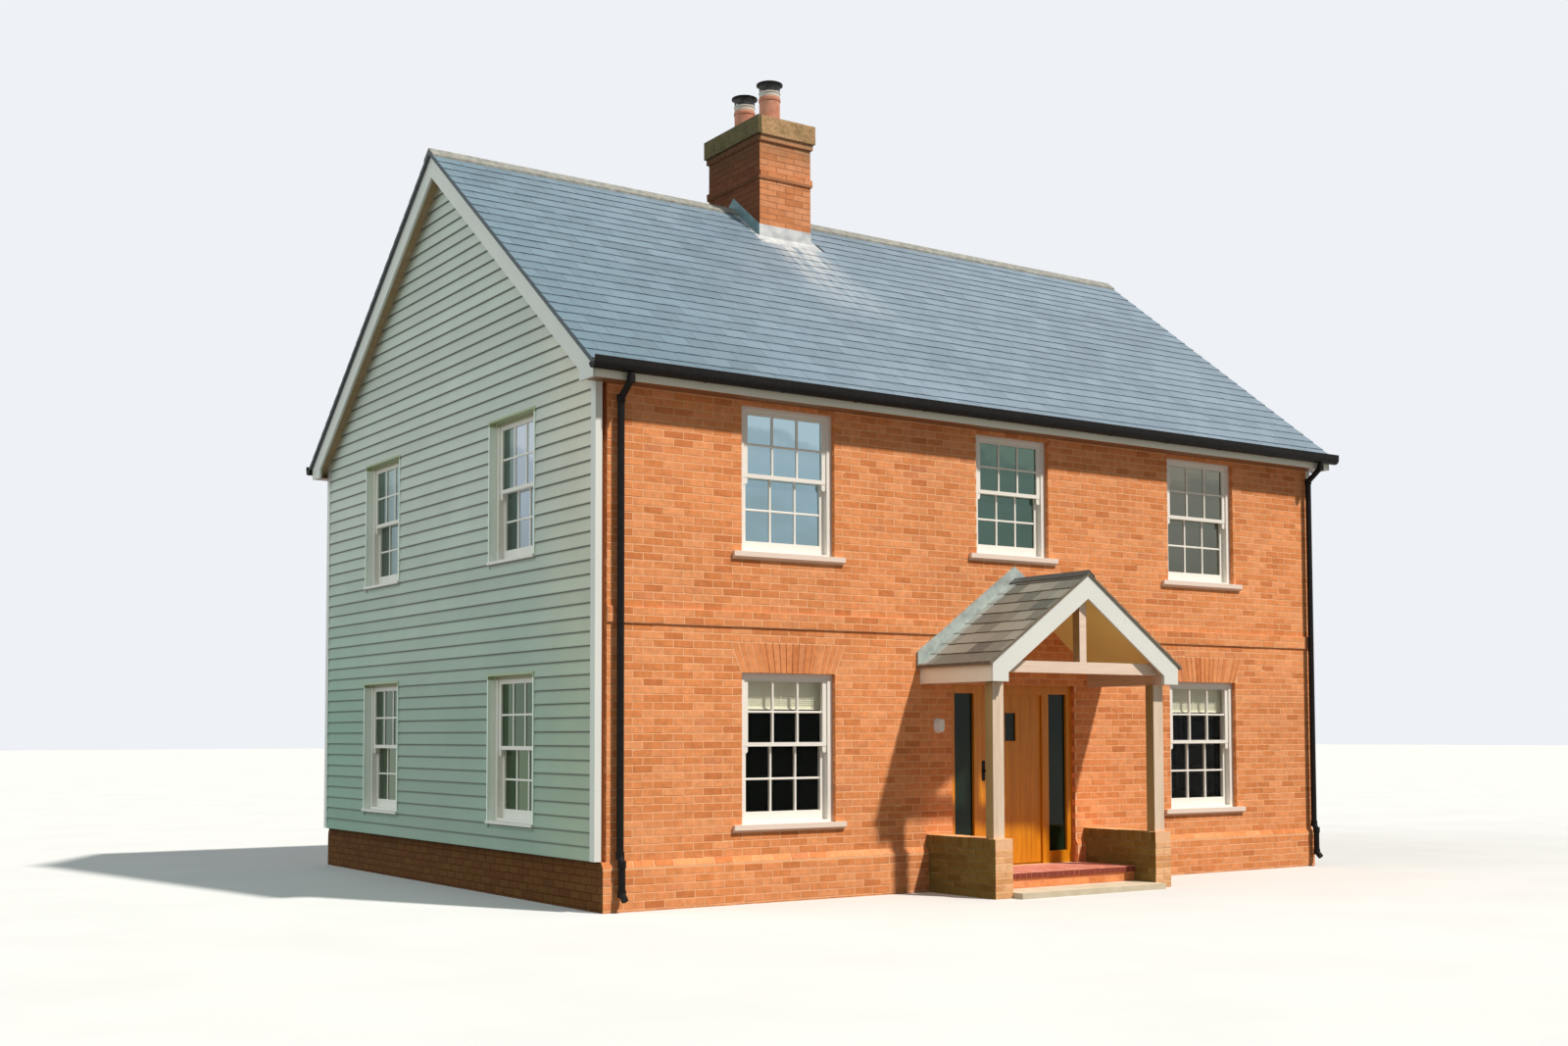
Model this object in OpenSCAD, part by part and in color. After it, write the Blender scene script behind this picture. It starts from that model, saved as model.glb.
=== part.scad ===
// Detached two-storey house: brick front and back, weatherboarded gables, slate roof,
// ridge chimney and an oak-framed porch over a boarded front door.
// Millimetres. X runs along the front, Y to the back, Z up.
// The origin is the middle of the brick footprint, on the ground.

/* [Main block] */
// Length of the front wall between its brick corners
house_length = 10070; // [9600:10:11500]
// Depth between the front and back brick faces
house_depth = 7410; // [7000:10:8200]
// Thickness of an outside wall, brick skin and inner leaf together
wall_thickness = 300; // [260:5:350]
// Height of the outer wall face up to the rafters
wall_height = 5090; // [5060:5:5400]
// Height of one brick course with its bed joint
course = 75; // [74:0.5:76]
// Height of the first bed joint above the ground
first_joint = 22; // [10:1:40]

/* [Plinth and string course] */
// How far the front plinth stands out of the wall
plinth_projection = 35; // [20:1:60]
// Number of courses in the plinth, the splayed one included
plinth_courses = 6; // [5:1:7]
// Course at which the string course starts
string_course = 36; // [35:1:37]
// Number of courses in the string course
string_courses = 2; // [1:1:3]
// How far the string course stands out of the wall
string_projection = 20; // [10:1:30]

/* [Floors] */
// Level of the ground floor and the door threshold
floor_level = 218; // [160:1:260]
// Level of the first floor
first_floor_level = 2700; // [2600:5:2800]
// Thickness of the first floor
first_floor_thickness = 250; // [200:5:300]

/* [Windows] */
// Where the front windows and the door are centred, right of the middle
front_axis = 90; // [0:5:150]
// Distance of the outer windows from that axis
window_spacing = 3000; // [2700:10:3200]
// Width of the wide window openings
window_width = 1135; // [1000:5:1250]
// Width of the window over the door
middle_window_width = 1055; // [900:5:1150]
// Course on which the ground floor sills sit
sill_course = 9; // [8:1:11]
// Course at the head of the ground floor windows
head_course = 30; // [29:1:31]
// Course on which the upper sills sit
upper_sill_course = 45; // [44:1:46]
// Course on which the sill over the door sits
middle_sill_course = 47; // [46:1:49]
// Distance of the upper window heads below the soffit
head_drop = 45; // [30:1:105]
// Distance of the gable windows from their own middle
gable_window_spacing = 1805; // [1500:5:2000]
// Where the gable windows are centred, in front of the middle of the gable
gable_axis = 50; // [0:5:100]
// Width of the gable window openings
gable_window_width = 1060; // [900:5:1150]
// Depth of the brick reveal in front of a window frame
window_reveal = 50; // [40:1:60]
// Width of a frame jamb seen from outside
jamb = 62; // [50:1:75]
// Height of the frame head seen from outside
frame_head = 36; // [25:1:50]
// Depth of a window frame through the wall
frame_depth = 140; // [125:1:160]
// Width of a sash stile
stile = 52; // [40:1:60]
// Height of the top rail of a sash
top_rail = 46; // [36:1:60]
// Height of a meeting rail
meeting_rail = 40; // [34:1:50]
// Height of the deep bottom rail
bottom_rail = 96; // [75:1:110]
// Thickness of a sash
sash_thickness = 44; // [38:1:48]
// Thickness of the window glass
glass_thickness = 6; // [4:1:8]
// How far a sill runs past its opening at each end
sill_horn = 108; // [80:1:120]
// How far a sill stands out of the wall
sill_projection = 45; // [35:1:60]
// Thickness of the boards that line a gable window through the weatherboards
lining_thickness = 22; // [15:1:30]
// How far the lining boards stand out of the weatherboards
lining_projection = 4; // [2:1:10]
// How far the head of the lining stands out as a hood
hood_projection = 30; // [15:1:40]

/* [Flat arches] */
// Height of a flat arch over a ground floor window, in courses
arch_courses = 4; // [3:1:5]
// How far the arch has spread at its top, at each end
arch_skew = 120; // [80:5:160]
// Number of tapered bricks in an arch
arch_bricks = 17; // [13:2:21]
// Depth of the arch bricks into the wall
arch_depth = 102; // [90:1:120]
// Width of the joints between arch bricks
arch_joint = 8; // [4:1:12]
// Depth to which those joints are cut back
arch_joint_depth = 4; // [2:1:10]

/* [Weatherboards] */
// How far the weatherboards stand out of the brick corner
cladding_projection = 71; // [60:1:90]
// Height of one weatherboard seen from outside
board_gauge = 135; // [120:1:160]
// Thickness of a board at its lower edge
board_butt = 22; // [14:1:26]
// Thickness of a board at its top
board_top = 8; // [6:1:12]
// Width of a corner board on the gable
corner_board_width = 95; // [70:1:120]
// Gap between the boards and the plinth below
board_drip = 6; // [2:1:15]

/* [Roof] */
// Slope of the main roof in degrees
roof_pitch = 38; // [36:0.5:40]
// Depth of the rafters and boarding, square to the slope
rafter_depth = 150; // [120:5:160]
// Depth of the slating with its battens
slating_depth = 40; // [30:1:50]
// Height of slate showing in each row
slate_gauge = 195; // [180:5:220]
// Step between two rows of slates
slate_step = 9; // [5:1:12]
// Distance from the wall to the face of the fascia
eaves_overhang = 200; // [150:5:250]
// Distance of the soffit below the top of the wall
soffit_drop = 105; // [90:1:125]
// Thickness of the fascia boards
fascia_thickness = 20; // [16:1:25]
// Thickness of the soffit boards
soffit_thickness = 12; // [9:1:18]
// How far the slates run past the fascia
slate_overhang = 40; // [30:1:50]
// Distance from the brick corner to the face of the bargeboard
verge_overhang = 205; // [170:5:260]
// How far the slates run past the bargeboard
verge_slate_overhang = 35; // [20:1:50]
// Thickness of a bargeboard
barge_thickness = 28; // [20:1:35]
// Depth of a bargeboard, square to the slope
barge_depth = 200; // [170:5:230]
// Width of the boxed foot of a bargeboard
foot_width = 280; // [240:5:320]
// Clearance between pieces that lie against each other on a slope
seat = 0.3; // [0.1:0.05:0.5]
// Width of one wing of a ridge tile
ridge_wing = 170; // [140:5:200]
// Thickness of a ridge tile
ridge_thickness = 20; // [15:1:28]

/* [Rainwater goods] */
// Outer radius of the half-round gutter
gutter_radius = 60; // [52:1:64]
// Wall of the gutter
gutter_wall = 4; // [3:0.5:5]
// Distance of the gutter rim below the slates at the fascia
gutter_drop = 16; // [12:1:30]
// Outer radius of the downpipes
pipe_radius = 34; // [30:1:38]
// Distance of the left downpipe from its brick corner
left_pipe_inset = 165; // [120:5:250]
// Distance of the right downpipe from its brick corner
right_pipe_inset = 40; // [38:1:100]
// Clear space between a downpipe and the wall
pipe_standoff = 32; // [25:1:40]
// Height of the foot of a downpipe above the ground
shoe_height = 120; // [60:5:180]

/* [Chimney] */
// Where the stack is centred along the ridge
chimney_x = -835; // [-1500:5:1500]
// Width of the stack along the front
chimney_width = 760; // [650:5:900]
// Depth of the stack
chimney_depth = 1180; // [1000:5:1300]
// Height of the band course above the ridge slates
band_rise = 264; // [210:2:370]
// How far the band course stands out
band_projection = 20; // [10:1:30]
// Height of the first oversailing course above the ridge slates
oversail_rise = 734; // [670:2:820]
// How far each oversailing course steps out
oversail = 24; // [15:1:35]
// Number of courses in the chimney cap
cap_courses = 3; // [2:1:3]
// Height of the mortar slope on the cap
flaunching = 45; // [30:5:70]
// Distance between the two pots
pot_spacing = 580; // [480:5:650]
// Distance of the pots from the middle of the stack along the ridge
pot_shift = -30; // [-50:5:50]
// Outer radius of a pot at its top
pot_radius = 138; // [120:1:150]
// Height of a pot above the cap
pot_height = 440; // [400:5:600]
// Wall of a pot
pot_wall = 24; // [18:1:30]
// Radius of a cowl lid
cowl_radius = 166; // [150:1:180]
// Gap between a pot and its cowl lid
cowl_gap = 95; // [45:1:110]
// Thickness of a cowl lid
cowl_lid = 14; // [8:1:24]
// Side of a cowl leg
cowl_leg = 12; // [8:1:16]
// Width of the lead around the stack
lead_width = 150; // [120:5:180]
// Thickness of dressed lead, folds included
lead_thickness = 6; // [4:1:8]

/* [Front door] */
// Width of the door opening with its sidelights
door_set_width = 1790; // [1700:5:1900]
// Course at the head of the door opening
door_head_course = 29; // [28:1:30]
// Distance from the wall face to the door frame
door_reveal = 50; // [30:1:80]
// Width of the outer posts of the door frame
door_jamb = 78; // [60:1:90]
// Width of the posts beside the leaf
mullion = 76; // [60:1:90]
// Height of the door frame head
door_frame_head = 90; // [70:1:110]
// Depth of the stop that the leaf shuts against
stop_depth = 24; // [18:1:40]
// Width of the door leaf
leaf_width = 924; // [860:2:960]
// Thickness of the door leaf
leaf_thickness = 46; // [40:1:50]
// Clearance all round the leaf
leaf_clearance = 6; // [5:0.5:8]
// How far the frame stop laps the leaf
stop_lap = 12; // [10:1:20]
// Radius of a hinge knuckle
hinge_radius = 8; // [6:0.5:10]
// Height of a hinge
hinge_height = 100; // [75:5:120]
// Distance of the outer hinges from the ends of the leaf
hinge_inset = 200; // [150:5:250]
// Clearance between a hinge knuckle and the leaf
hinge_clearance = 0.3; // [0.2:0.05:0.5]
// Height of the timber panel below each sidelight
sidelight_panel = 137; // [100:1:200]
// Width of the small glass panel in the leaf
vision_width = 160; // [120:5:200]
// Height of the small glass panel in the leaf
vision_height = 310; // [250:5:400]
// Distance of that panel below the top of the leaf
vision_drop = 210; // [120:5:250]
// Distance of the handle from the shutting edge
handle_inset = 70; // [55:1:90]
// Height of the handle above the ground
handle_height = 1260; // [1150:5:1350]
// Width of the handle plate
handle_plate_width = 44; // [36:1:60]
// Length of the handle plate
handle_plate_length = 220; // [150:5:260]
// Length of the lever
handle_length = 127; // [100:1:140]
// How far the lever stands out of the leaf
handle_reach = 44; // [36:1:60]

/* [Porch] */
// Outer width across the dwarf walls
porch_width = 2500; // [2300:10:2700]
// How far the dwarf walls stand out of the front wall
porch_projection = 1100; // [900:10:1300]
// Thickness of a dwarf wall
dwarf_wall = 230; // [215:1:250]
// Height of the dwarf walls
dwarf_wall_height = 600; // [500:5:700]
// Height of the stone porch floor
porch_floor_height = 60; // [50:5:100]
// Distance from the wall face to the front edge of the porch floor
porch_floor_depth = 1245; // [1110:5:1300]
// Depth of the brick landing before the door
step_depth = 795; // [600:5:900]
// Thickness of the treads on the landing
tread_thickness = 55; // [40:1:70]
// How far the treads stand out over the riser
nosing = 15; // [8:1:25]
// Width of a porch post across the front
post_side = 145; // [120:1:180]
// Depth of a porch post from front to back
post_depth = 115; // [90:1:150]
// Distance between the centres of the posts
post_spacing = 2295; // [2270:5:2310]
// Distance from the wall face to the front of the truss
truss_front = 1081; // [1000:1:1100]
// Distance of the posts behind the face of the truss
post_setback = 41; // [10:1:60]
// Level of the post tops
post_top = 2187; // [2100:1:2200]
// Slope of the porch roof in degrees
porch_pitch = 35.4; // [35:0.1:37]
// Distance from the wall face to the face of the porch bargeboards
porch_roof_projection = 1170; // [1150:5:1300]
// Half the width of the porch roof at its fascias
porch_eaves = 1325; // [1300:5:1400]
// Level of the top of the porch fascias
porch_eaves_level = 2385; // [2370:1:2400]
// Depth of the porch rafters and ceiling, square to the slope
porch_rafter_depth = 100; // [80:5:110]
// Depth of the porch slating
porch_slating_depth = 24; // [20:1:30]
// How far the porch slates run past the fascias
porch_slate_overhang = 45; // [30:1:60]
// How far the porch slates and their ridge pass the bargeboards
porch_verge_overhang = 15; // [10:1:40]
// Depth of the porch bargeboards, square to the slope
porch_barge_depth = 205; // [200:5:250]
// Width of the boxed foot of a porch bargeboard
porch_foot_width = 210; // [200:2:260]
// Height of the porch fascias and feet
porch_fascia_height = 195; // [170:1:205]
// Width of one wing of the porch ridge
porch_ridge_wing = 102; // [80:2:140]
// Level of the underside of the tie beam
tie_level = 2290; // [2250:1:2300]
// Height of the tie beam
tie_height = 120; // [90:1:130]
// Width of the king post
king_width = 96; // [80:1:130]
// Thickness of the truss timbers
truss_thickness = 100; // [70:1:110]

/* [Wall lamp] */
// Distance of the middle of the lamp from the door frame
lamp_gap = 200; // [120:5:220]
// Height of the middle of the lamp
lamp_height = 1750; // [1600:5:1900]
// Width of the lamp
lamp_width = 96; // [80:2:120]
// Height of the lamp
lamp_length = 156; // [120:2:200]
// How far the lamp stands out of the wall
lamp_depth = 75; // [60:1:100]

/* [Hidden] */
$fn = 48;

brick = "#b9603a";
cladding = "#c9cfc6";
white = "#f1efe8";
cream = "#e3d9c3";
oak = "#b98b54";
door_oak = "#c9902f";
slate = "#6d7a85";
porch_slate = "#62605a";
iron = "#1f2224";
lead = "#a9aeb0";
stone = "#d9cfb6";

eps = 1;
half_length = house_length / 2;
half_depth = house_depth / 2;
slope = tan(roof_pitch);
rafter_rise = rafter_depth / cos(roof_pitch);
slating_rise = slating_depth / cos(roof_pitch);
apex_under = wall_height + slope * half_depth;
inner_half_depth = half_depth - wall_thickness;
inner_half_length = half_length - wall_thickness;
verge_x = half_length + verge_overhang;
slate_x = verge_x + verge_slate_overhang;
fascia_y = half_depth + eaves_overhang;
soffit_level = wall_height - soffit_drop;
upper_head = soffit_level - head_drop;
slate_y = fascia_y + slate_overhang;

function bed(n) = first_joint + n * course;
// Undersides of the rafters, of the slating, and top of the slating, over a depth y
function rafter_under(y) = apex_under - slope * abs(y);
function slating_under(y) = rafter_under(y) + rafter_rise;
function slating_top(y) = slating_under(y) + slating_rise;
// Top of what carries the slating
function deck(y) = slating_under(y) - seat;

gutter_rim = slating_under(fascia_y) - gutter_drop;
band_level = slating_top(0) + band_rise;
oversail_level = slating_top(0) + oversail_rise;
plinth_top = bed(plinth_courses);
sill_bottom = bed(sill_course);
window_head = bed(head_course);
upper_sill = bed(upper_sill_course);
middle_sill = bed(middle_sill_course);
sill_thickness = course;
door_head = bed(door_head_course);
door_left = front_axis - door_set_width / 2;
door_right = front_axis + door_set_width / 2;

// Each window: distance along the wall, width, level under its sill, level of its head
front_windows = [
    for (s = [-1, 1]) [front_axis + s * window_spacing, window_width, sill_bottom, window_head],
    for (s = [-1, 1]) [front_axis + s * window_spacing, window_width, upper_sill, upper_head],
    [front_axis, middle_window_width, middle_sill, upper_head]];
back_windows = concat(front_windows,
    [[front_axis, middle_window_width, sill_bottom, window_head]]);
gable_windows = [for (s = [-1, 1]) for (z = [[sill_bottom, window_head], [upper_sill, upper_head]])
    [gable_axis + s * gable_window_spacing, gable_window_width, z[0], z[1]]];

// Places what is drawn for the front wall, whose outer face is y = 0 and inside is +y
module on_front() { translate([0, -half_depth, 0]) children(); }
module on_back() { mirror([0, 1, 0]) on_front() children(); }
// On the left gable, x runs from back to front
module on_left() { translate([-half_length, 0, 0]) rotate([0, 0, -90]) children(); }
module on_right() { mirror([1, 0, 0]) on_left() children(); }

// Extrudes a profile drawn in Y and Z along X, from x0 to x1
module along_x(x0, x1) {
    translate([x0, 0, 0]) rotate([90, 0, 90]) linear_extrude(x1 - x0) children();
}
// Extrudes a profile drawn in X and Z along Y, from y0 to y1
module along_y(y0, y1) {
    translate([0, y1, 0]) rotate([90, 0, 0]) linear_extrude(y1 - y0) children();
}

// Section of the front wall: splayed plinth, string course and a top cut to the rafters
module wall_section() {
    top_inside = wall_height + slope * wall_thickness;
    polygon([
        [-plinth_projection, 0], [-plinth_projection, plinth_top - course * 0.8], [0, plinth_top],
        [0, bed(string_course)], [-string_projection, bed(string_course)],
        [-string_projection, bed(string_course + string_courses)],
        [0, bed(string_course + string_courses)],
        [0, wall_height], [wall_thickness, top_inside], [wall_thickness, 0]]);
}

module window_hole(w) {
    translate([w[0] - w[1] / 2, -wall_thickness, w[2]])
        cube([w[1], 3 * wall_thickness, w[3] - w[2]]);
}

// Outline of a flat arch over an opening: straight soffit, flared ends
module arch_outline(w, grow = 0) {
    a = w[1] / 2 + grow;
    polygon([[w[0] - a, w[3]], [w[0] + a, w[3]],
        [w[0] + a + arch_skew, w[3] + arch_courses * course],
        [w[0] - a - arch_skew, w[3] + arch_courses * course]]);
}

function is_low(w) = w[2] == sill_bottom;

module arch_seats(windows) {
    for (w = windows) if (is_low(w)) along_y(-eps, arch_depth) arch_outline(w);
}

module front_wall(x0, x1, windows) {
    on_front() difference() {
        along_x(x0, x1) wall_section();
        for (w = windows) if (w[0] > x0 && w[0] < x1) window_hole(w);
        arch_seats([for (w = windows) if (w[0] > x0 && w[0] < x1) w]);
        for (w = windows) if (w[0] > x0 && w[0] < x1) sill_seat(w);
    }
}

// The sill runs past the opening, so its ends are let into the brickwork
module sill_seat(w) {
    translate([w[0] - w[1] / 2 - sill_horn, -plinth_projection - eps, w[2]])
        cube([w[1] + 2 * sill_horn, plinth_projection + eps + window_reveal, sill_thickness]);
}

module front_wall_left() { color(brick) front_wall(-half_length, door_left, front_windows); }
module front_wall_right() { color(brick) front_wall(door_right, half_length, front_windows); }
module front_wall_over_door() {
    color(brick) on_front() difference() {
        along_x(door_left, door_right) wall_section();
        translate([door_left - eps, -wall_thickness, -eps])
            cube([door_set_width + 2 * eps, 3 * wall_thickness, door_head + eps]);
        window_hole(front_windows[4]);
        sill_seat(front_windows[4]);
    }
}
module back_wall() {
    color(brick) on_back() difference() {
        along_x(-half_length, half_length) wall_section();
        for (w = back_windows) window_hole(w);
        for (w = back_windows) sill_seat(w);
        arch_seats(back_windows);
    }
}

// Gable outline between the front and back walls, with shoulders over them up to the rafters
module gable_outline(from_z) {
    polygon([[-inner_half_depth, from_z], [inner_half_depth, from_z],
        [inner_half_depth, rafter_under(inner_half_depth)], [0, apex_under],
        [-inner_half_depth, rafter_under(inner_half_depth)]]);
}
module gable_wall() {
    on_left() difference() {
        along_y(0, wall_thickness) gable_outline(plinth_top);
        for (w = gable_windows) window_hole(w);
    }
}
module left_gable_wall() { color(brick) gable_wall(); }
module right_gable_wall() { color(brick) mirror([1, 0, 0]) gable_wall(); }
module gable_plinths() {
    color(brick) for (side = [0, 1]) mirror([side, 0, 0])
        translate([-half_length, -inner_half_depth, 0])
            cube([wall_thickness, 2 * inner_half_depth, plinth_top]);
}

module ground_floor() {
    color(stone) {
        translate([-inner_half_length, -inner_half_depth, 0])
            cube([2 * inner_half_length, 2 * inner_half_depth, floor_level]);
        translate([door_left, -half_depth, 0])
            cube([door_set_width, wall_thickness + eps, floor_level]);
    }
}
module first_floor() {
    color(oak) translate([-inner_half_length, -inner_half_depth,
            first_floor_level - first_floor_thickness])
        cube([2 * inner_half_length, 2 * inner_half_depth, first_floor_thickness]);
}

// Lapped boards: each is a wedge, thick at its lower edge and thin under the next one
board_base = plinth_top + board_drip;
board_count = ceil((apex_under - board_base) / board_gauge);
module board_profile() {
    back = -cladding_projection + board_butt;
    polygon(concat(
        [[0, board_base]],
        [for (i = [0:board_count - 1]) for (p = [
            [-cladding_projection, board_base + i * board_gauge],
            [back - board_top, board_base + (i + 1) * board_gauge]]) p],
        [[0, board_base + board_count * board_gauge]]));
}
module weatherboards() {
    on_left() difference() {
        intersection() {
            along_x(-half_depth, half_depth) board_profile();
            along_y(-2 * cladding_projection, eps) polygon([
                [-half_depth + corner_board_width, board_base],
                [half_depth - corner_board_width, board_base],
                [half_depth - corner_board_width, rafter_under(half_depth - corner_board_width)],
                [0, apex_under],
                [-half_depth + corner_board_width, rafter_under(half_depth - corner_board_width)]]);
        }
        for (w = gable_windows)
            translate([w[0] - w[1] / 2 - lining_thickness, -2 * cladding_projection, w[2]])
                cube([w[1] + 2 * lining_thickness, 3 * cladding_projection,
                    w[3] - w[2] + lining_thickness]);
    }
}
module left_weatherboards() { color(cladding) weatherboards(); }
module right_weatherboards() { color(cladding) mirror([1, 0, 0]) weatherboards(); }
module corner_boards() {
    color(white) for (side = [0, 1]) mirror([side, 0, 0]) on_left() for (end = [0, 1])
        mirror([end, 0, 0]) along_y(-cladding_projection, 0) polygon([
            [half_depth - corner_board_width, board_base], [half_depth, board_base],
            [half_depth, rafter_under(half_depth)],
            [half_depth - corner_board_width, rafter_under(half_depth - corner_board_width)]]);
}

// Roof structure of the front slope; the rafter feet are cut level over the soffit
module slope_section() {
    foot = soffit_level + soffit_thickness;
    cut_y = half_depth + (wall_height + seat - foot) / slope;
    back_y = fascia_y - fascia_thickness;
    polygon([[0, apex_under + seat], [-cut_y, foot], [-back_y, foot],
        [-back_y, deck(back_y)], [0, deck(0)]]);
}
module front_roof_slope() {
    color(oak) along_x(-verge_x + barge_thickness, verge_x - barge_thickness) slope_section();
}
module back_roof_slope() { color(oak) mirror([0, 1, 0]) front_roof_slope(); }

// Slates in rows: each row starts a step proud and dies into the next one up
slope_run = slate_y / cos(roof_pitch);
slate_rows = floor(slope_run / slate_gauge);
module slate_section() {
    polygon(concat(
        [[0, slating_under(0)], [-slate_y, slating_under(slate_y)]],
        [for (i = [0:slate_rows - 1]) for (d = [0, 1])
            let (y = slate_y - (i + d) * slate_gauge * cos(roof_pitch))
            [-y, slating_top(y) - d * slate_step / cos(roof_pitch)]],
        [[0, slating_top(0) - slate_step]]));
}
// The stack, with room for its lead, as a hole through the slating
module stack_hole() {
    translate([chimney_x - chimney_width / 2, -chimney_depth / 2, soffit_level])
        cube([chimney_width, chimney_depth, 5 * wall_height]);
}
module front_slates() {
    color(slate) difference() {
        along_x(-slate_x, slate_x) slate_section();
        stack_hole();
    }
}
module back_slates() { color(slate) mirror([0, 1, 0]) front_slates(); }

module ridge_section() {
    wing_y = ridge_wing * cos(roof_pitch);
    t = ridge_thickness / cos(roof_pitch);
    polygon([[-wing_y, slating_top(wing_y)], [0, slating_top(0)], [wing_y, slating_top(wing_y)],
        [wing_y, slating_top(wing_y) + t], [0, slating_top(0) + t],
        [-wing_y, slating_top(wing_y) + t]]);
}
module ridge_tiles() {
    color(lead) difference() {
        along_x(-slate_x, slate_x) ridge_section();
        stack_hole();
    }
}

// Bargeboard chevron with boxed feet, drawn in the distance from the ridge and the height
foot_y = fascia_y;
module barge_half() {
    drop = barge_depth / cos(roof_pitch);
    inner_y = foot_y - foot_width;
    polygon([[0, deck(0)], [foot_y, deck(foot_y)], [foot_y, soffit_level],
        [inner_y, soffit_level], [inner_y, deck(inner_y) - drop], [0, deck(0) - drop]]);
}
module bargeboards() {
    color(white) for (side = [0, 1]) mirror([side, 0, 0]) along_x(-verge_x, -verge_x + barge_thickness)
        union() { barge_half(); mirror([1, 0]) barge_half(); }
}

module fascia_section() {
    back_y = fascia_y - fascia_thickness;
    polygon([[-fascia_y, soffit_level], [-half_depth, soffit_level],
        [-half_depth, soffit_level + soffit_thickness],
        [-back_y, soffit_level + soffit_thickness], [-back_y, deck(back_y)],
        [-fascia_y, deck(fascia_y)]]);
}
module fascias() {
    color(cream) for (side = [0, 1]) mirror([0, side, 0])
        along_x(-verge_x + barge_thickness, verge_x - barge_thickness) fascia_section();
}

// Half-round gutters with closed ends, hung on the fascias
gutter_y = fascia_y + gutter_radius;
gutter_x = slate_x + 2 * gutter_wall;
module gutters() {
    color(iron) for (side = [0, 1]) mirror([0, side, 0]) difference() {
        translate([-gutter_x, -gutter_y, gutter_rim]) rotate([0, 90, 0])
            cylinder(r = gutter_radius, h = 2 * gutter_x);
        translate([-gutter_x + gutter_wall, -gutter_y, gutter_rim]) rotate([0, 90, 0])
            cylinder(r = gutter_radius - gutter_wall, h = 2 * (gutter_x - gutter_wall));
        translate([-gutter_x - eps, -gutter_y - gutter_radius - eps, gutter_rim])
            cube([2 * (gutter_x + eps), 2 * (gutter_radius + eps), gutter_radius + eps]);
    }
}

// A downpipe in plan at x = 0: outlet, swan neck back to the wall, drop and kicked shoe
pipe_y = half_depth + pipe_standoff + pipe_radius;
shoe_y = half_depth + plinth_projection + pipe_standoff + pipe_radius;
module pipe_run(a, b) {
    d = b - a;
    translate(a) rotate([0, acos(d[2] / norm(d)), atan2(d[1], d[0])])
        cylinder(r = pipe_radius, h = norm(d));
}
// A socket hides each bend, where a raking length meets a plumb one
module pipe_socket(at) {
    translate(at - [0, 0, pipe_radius]) cylinder(r = pipe_radius + 7, h = 2 * pipe_radius);
}
module downpipe() {
    neck_top = gutter_rim - gutter_radius - 60;
    neck_bottom = neck_top - 150;
    kick = plinth_top + 60;
    bends = [[0, -gutter_y, neck_top], [0, -pipe_y, neck_bottom], [0, -pipe_y, kick],
        [0, -shoe_y, kick - 80], [0, -shoe_y, shoe_height + 60]];
    pipe_run(bends[0], [0, -gutter_y, gutter_rim - gutter_radius]);
    for (i = [0:len(bends) - 2]) pipe_run(bends[i + 1], bends[i]);
    pipe_run([0, -shoe_y - 60, shoe_height], bends[4]);
    for (at = bends) pipe_socket(at);
}
module downpipes() {
    color(iron) for (side = [0, 1]) mirror([0, side, 0]) {
        translate([-half_length + left_pipe_inset, 0, 0]) downpipe();
        translate([half_length - right_pipe_inset, 0, 0]) downpipe();
    }
}

// A block of the stack, grown on all four sides, from level z0 to z1
module stack_block(grow, z0, z1) {
    translate([chimney_x - chimney_width / 2 - grow, -chimney_depth / 2 - grow, z0])
        cube([chimney_width + 2 * grow, chimney_depth + 2 * grow, z1 - z0]);
}
cap_level = oversail_level + course;
cap_top = cap_level + cap_courses * course;
module chimney_stack() {
    color(brick) difference() {
        union() {
            stack_block(0, wall_height, oversail_level);
            stack_block(band_projection, band_level, band_level + course);
            stack_block(oversail, oversail_level, cap_level);
        }
        along_x(-half_length, half_length) polygon([[0, slating_under(0)],
            [-half_depth, slating_under(half_depth)], [-half_depth, 0], [half_depth, 0],
            [half_depth, slating_under(half_depth)]]);
        flue_holes(wall_height);
    }
}
module flue_holes(z) {
    for (s = [-1, 1]) translate([chimney_x + pot_shift, s * pot_spacing / 2, z])
        cylinder(r = pot_radius - pot_wall, h = 2 * wall_height);
}
module chimney_cap() {
    grow = 2 * oversail;
    w = chimney_width / 2 + grow;
    d = chimney_depth / 2 + grow;
    color(stone) difference() {
        union() {
            stack_block(grow, cap_level, cap_top);
            translate([chimney_x, 0, cap_top]) intersection() {
                along_x(-w, w) polygon([[-d, 0], [d, 0], [d - 3 * flaunching, flaunching],
                    [-d + 3 * flaunching, flaunching]]);
                along_y(-d, d) polygon([[-w, 0], [w, 0], [w - 3 * flaunching, flaunching],
                    [-w + 3 * flaunching, flaunching]]);
            }
        }
        for (s = [-1, 1]) translate([chimney_x + pot_shift, s * pot_spacing / 2, cap_top - course])
            cylinder(r = pot_radius, h = 2 * course);
        flue_holes(wall_height);
    }
}
// Round pot with a roll below its rim, seated in the cap
module pot() {
    r = pot_radius;
    h = pot_height + course;
    fold = pot_wall / 3;
    roll = h - pot_height / 4;
    rotate_extrude() polygon([[r - pot_wall, 0], [r, 0], [r, course + 5 * fold],
        [r - fold, course + 6 * fold], [r - fold, roll - fold], [r, roll],
        [r, roll + 4 * fold], [r - fold, roll + 5 * fold], [r - fold, h - 3 * fold],
        [r - fold / 4, h - 2 * fold], [r - fold / 4, h], [r - pot_wall, h]]);
}
module chimney_pots() {
    color(brick) for (s = [-1, 1])
        translate([chimney_x + pot_shift, s * pot_spacing / 2, cap_top - course]) pot();
}
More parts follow.
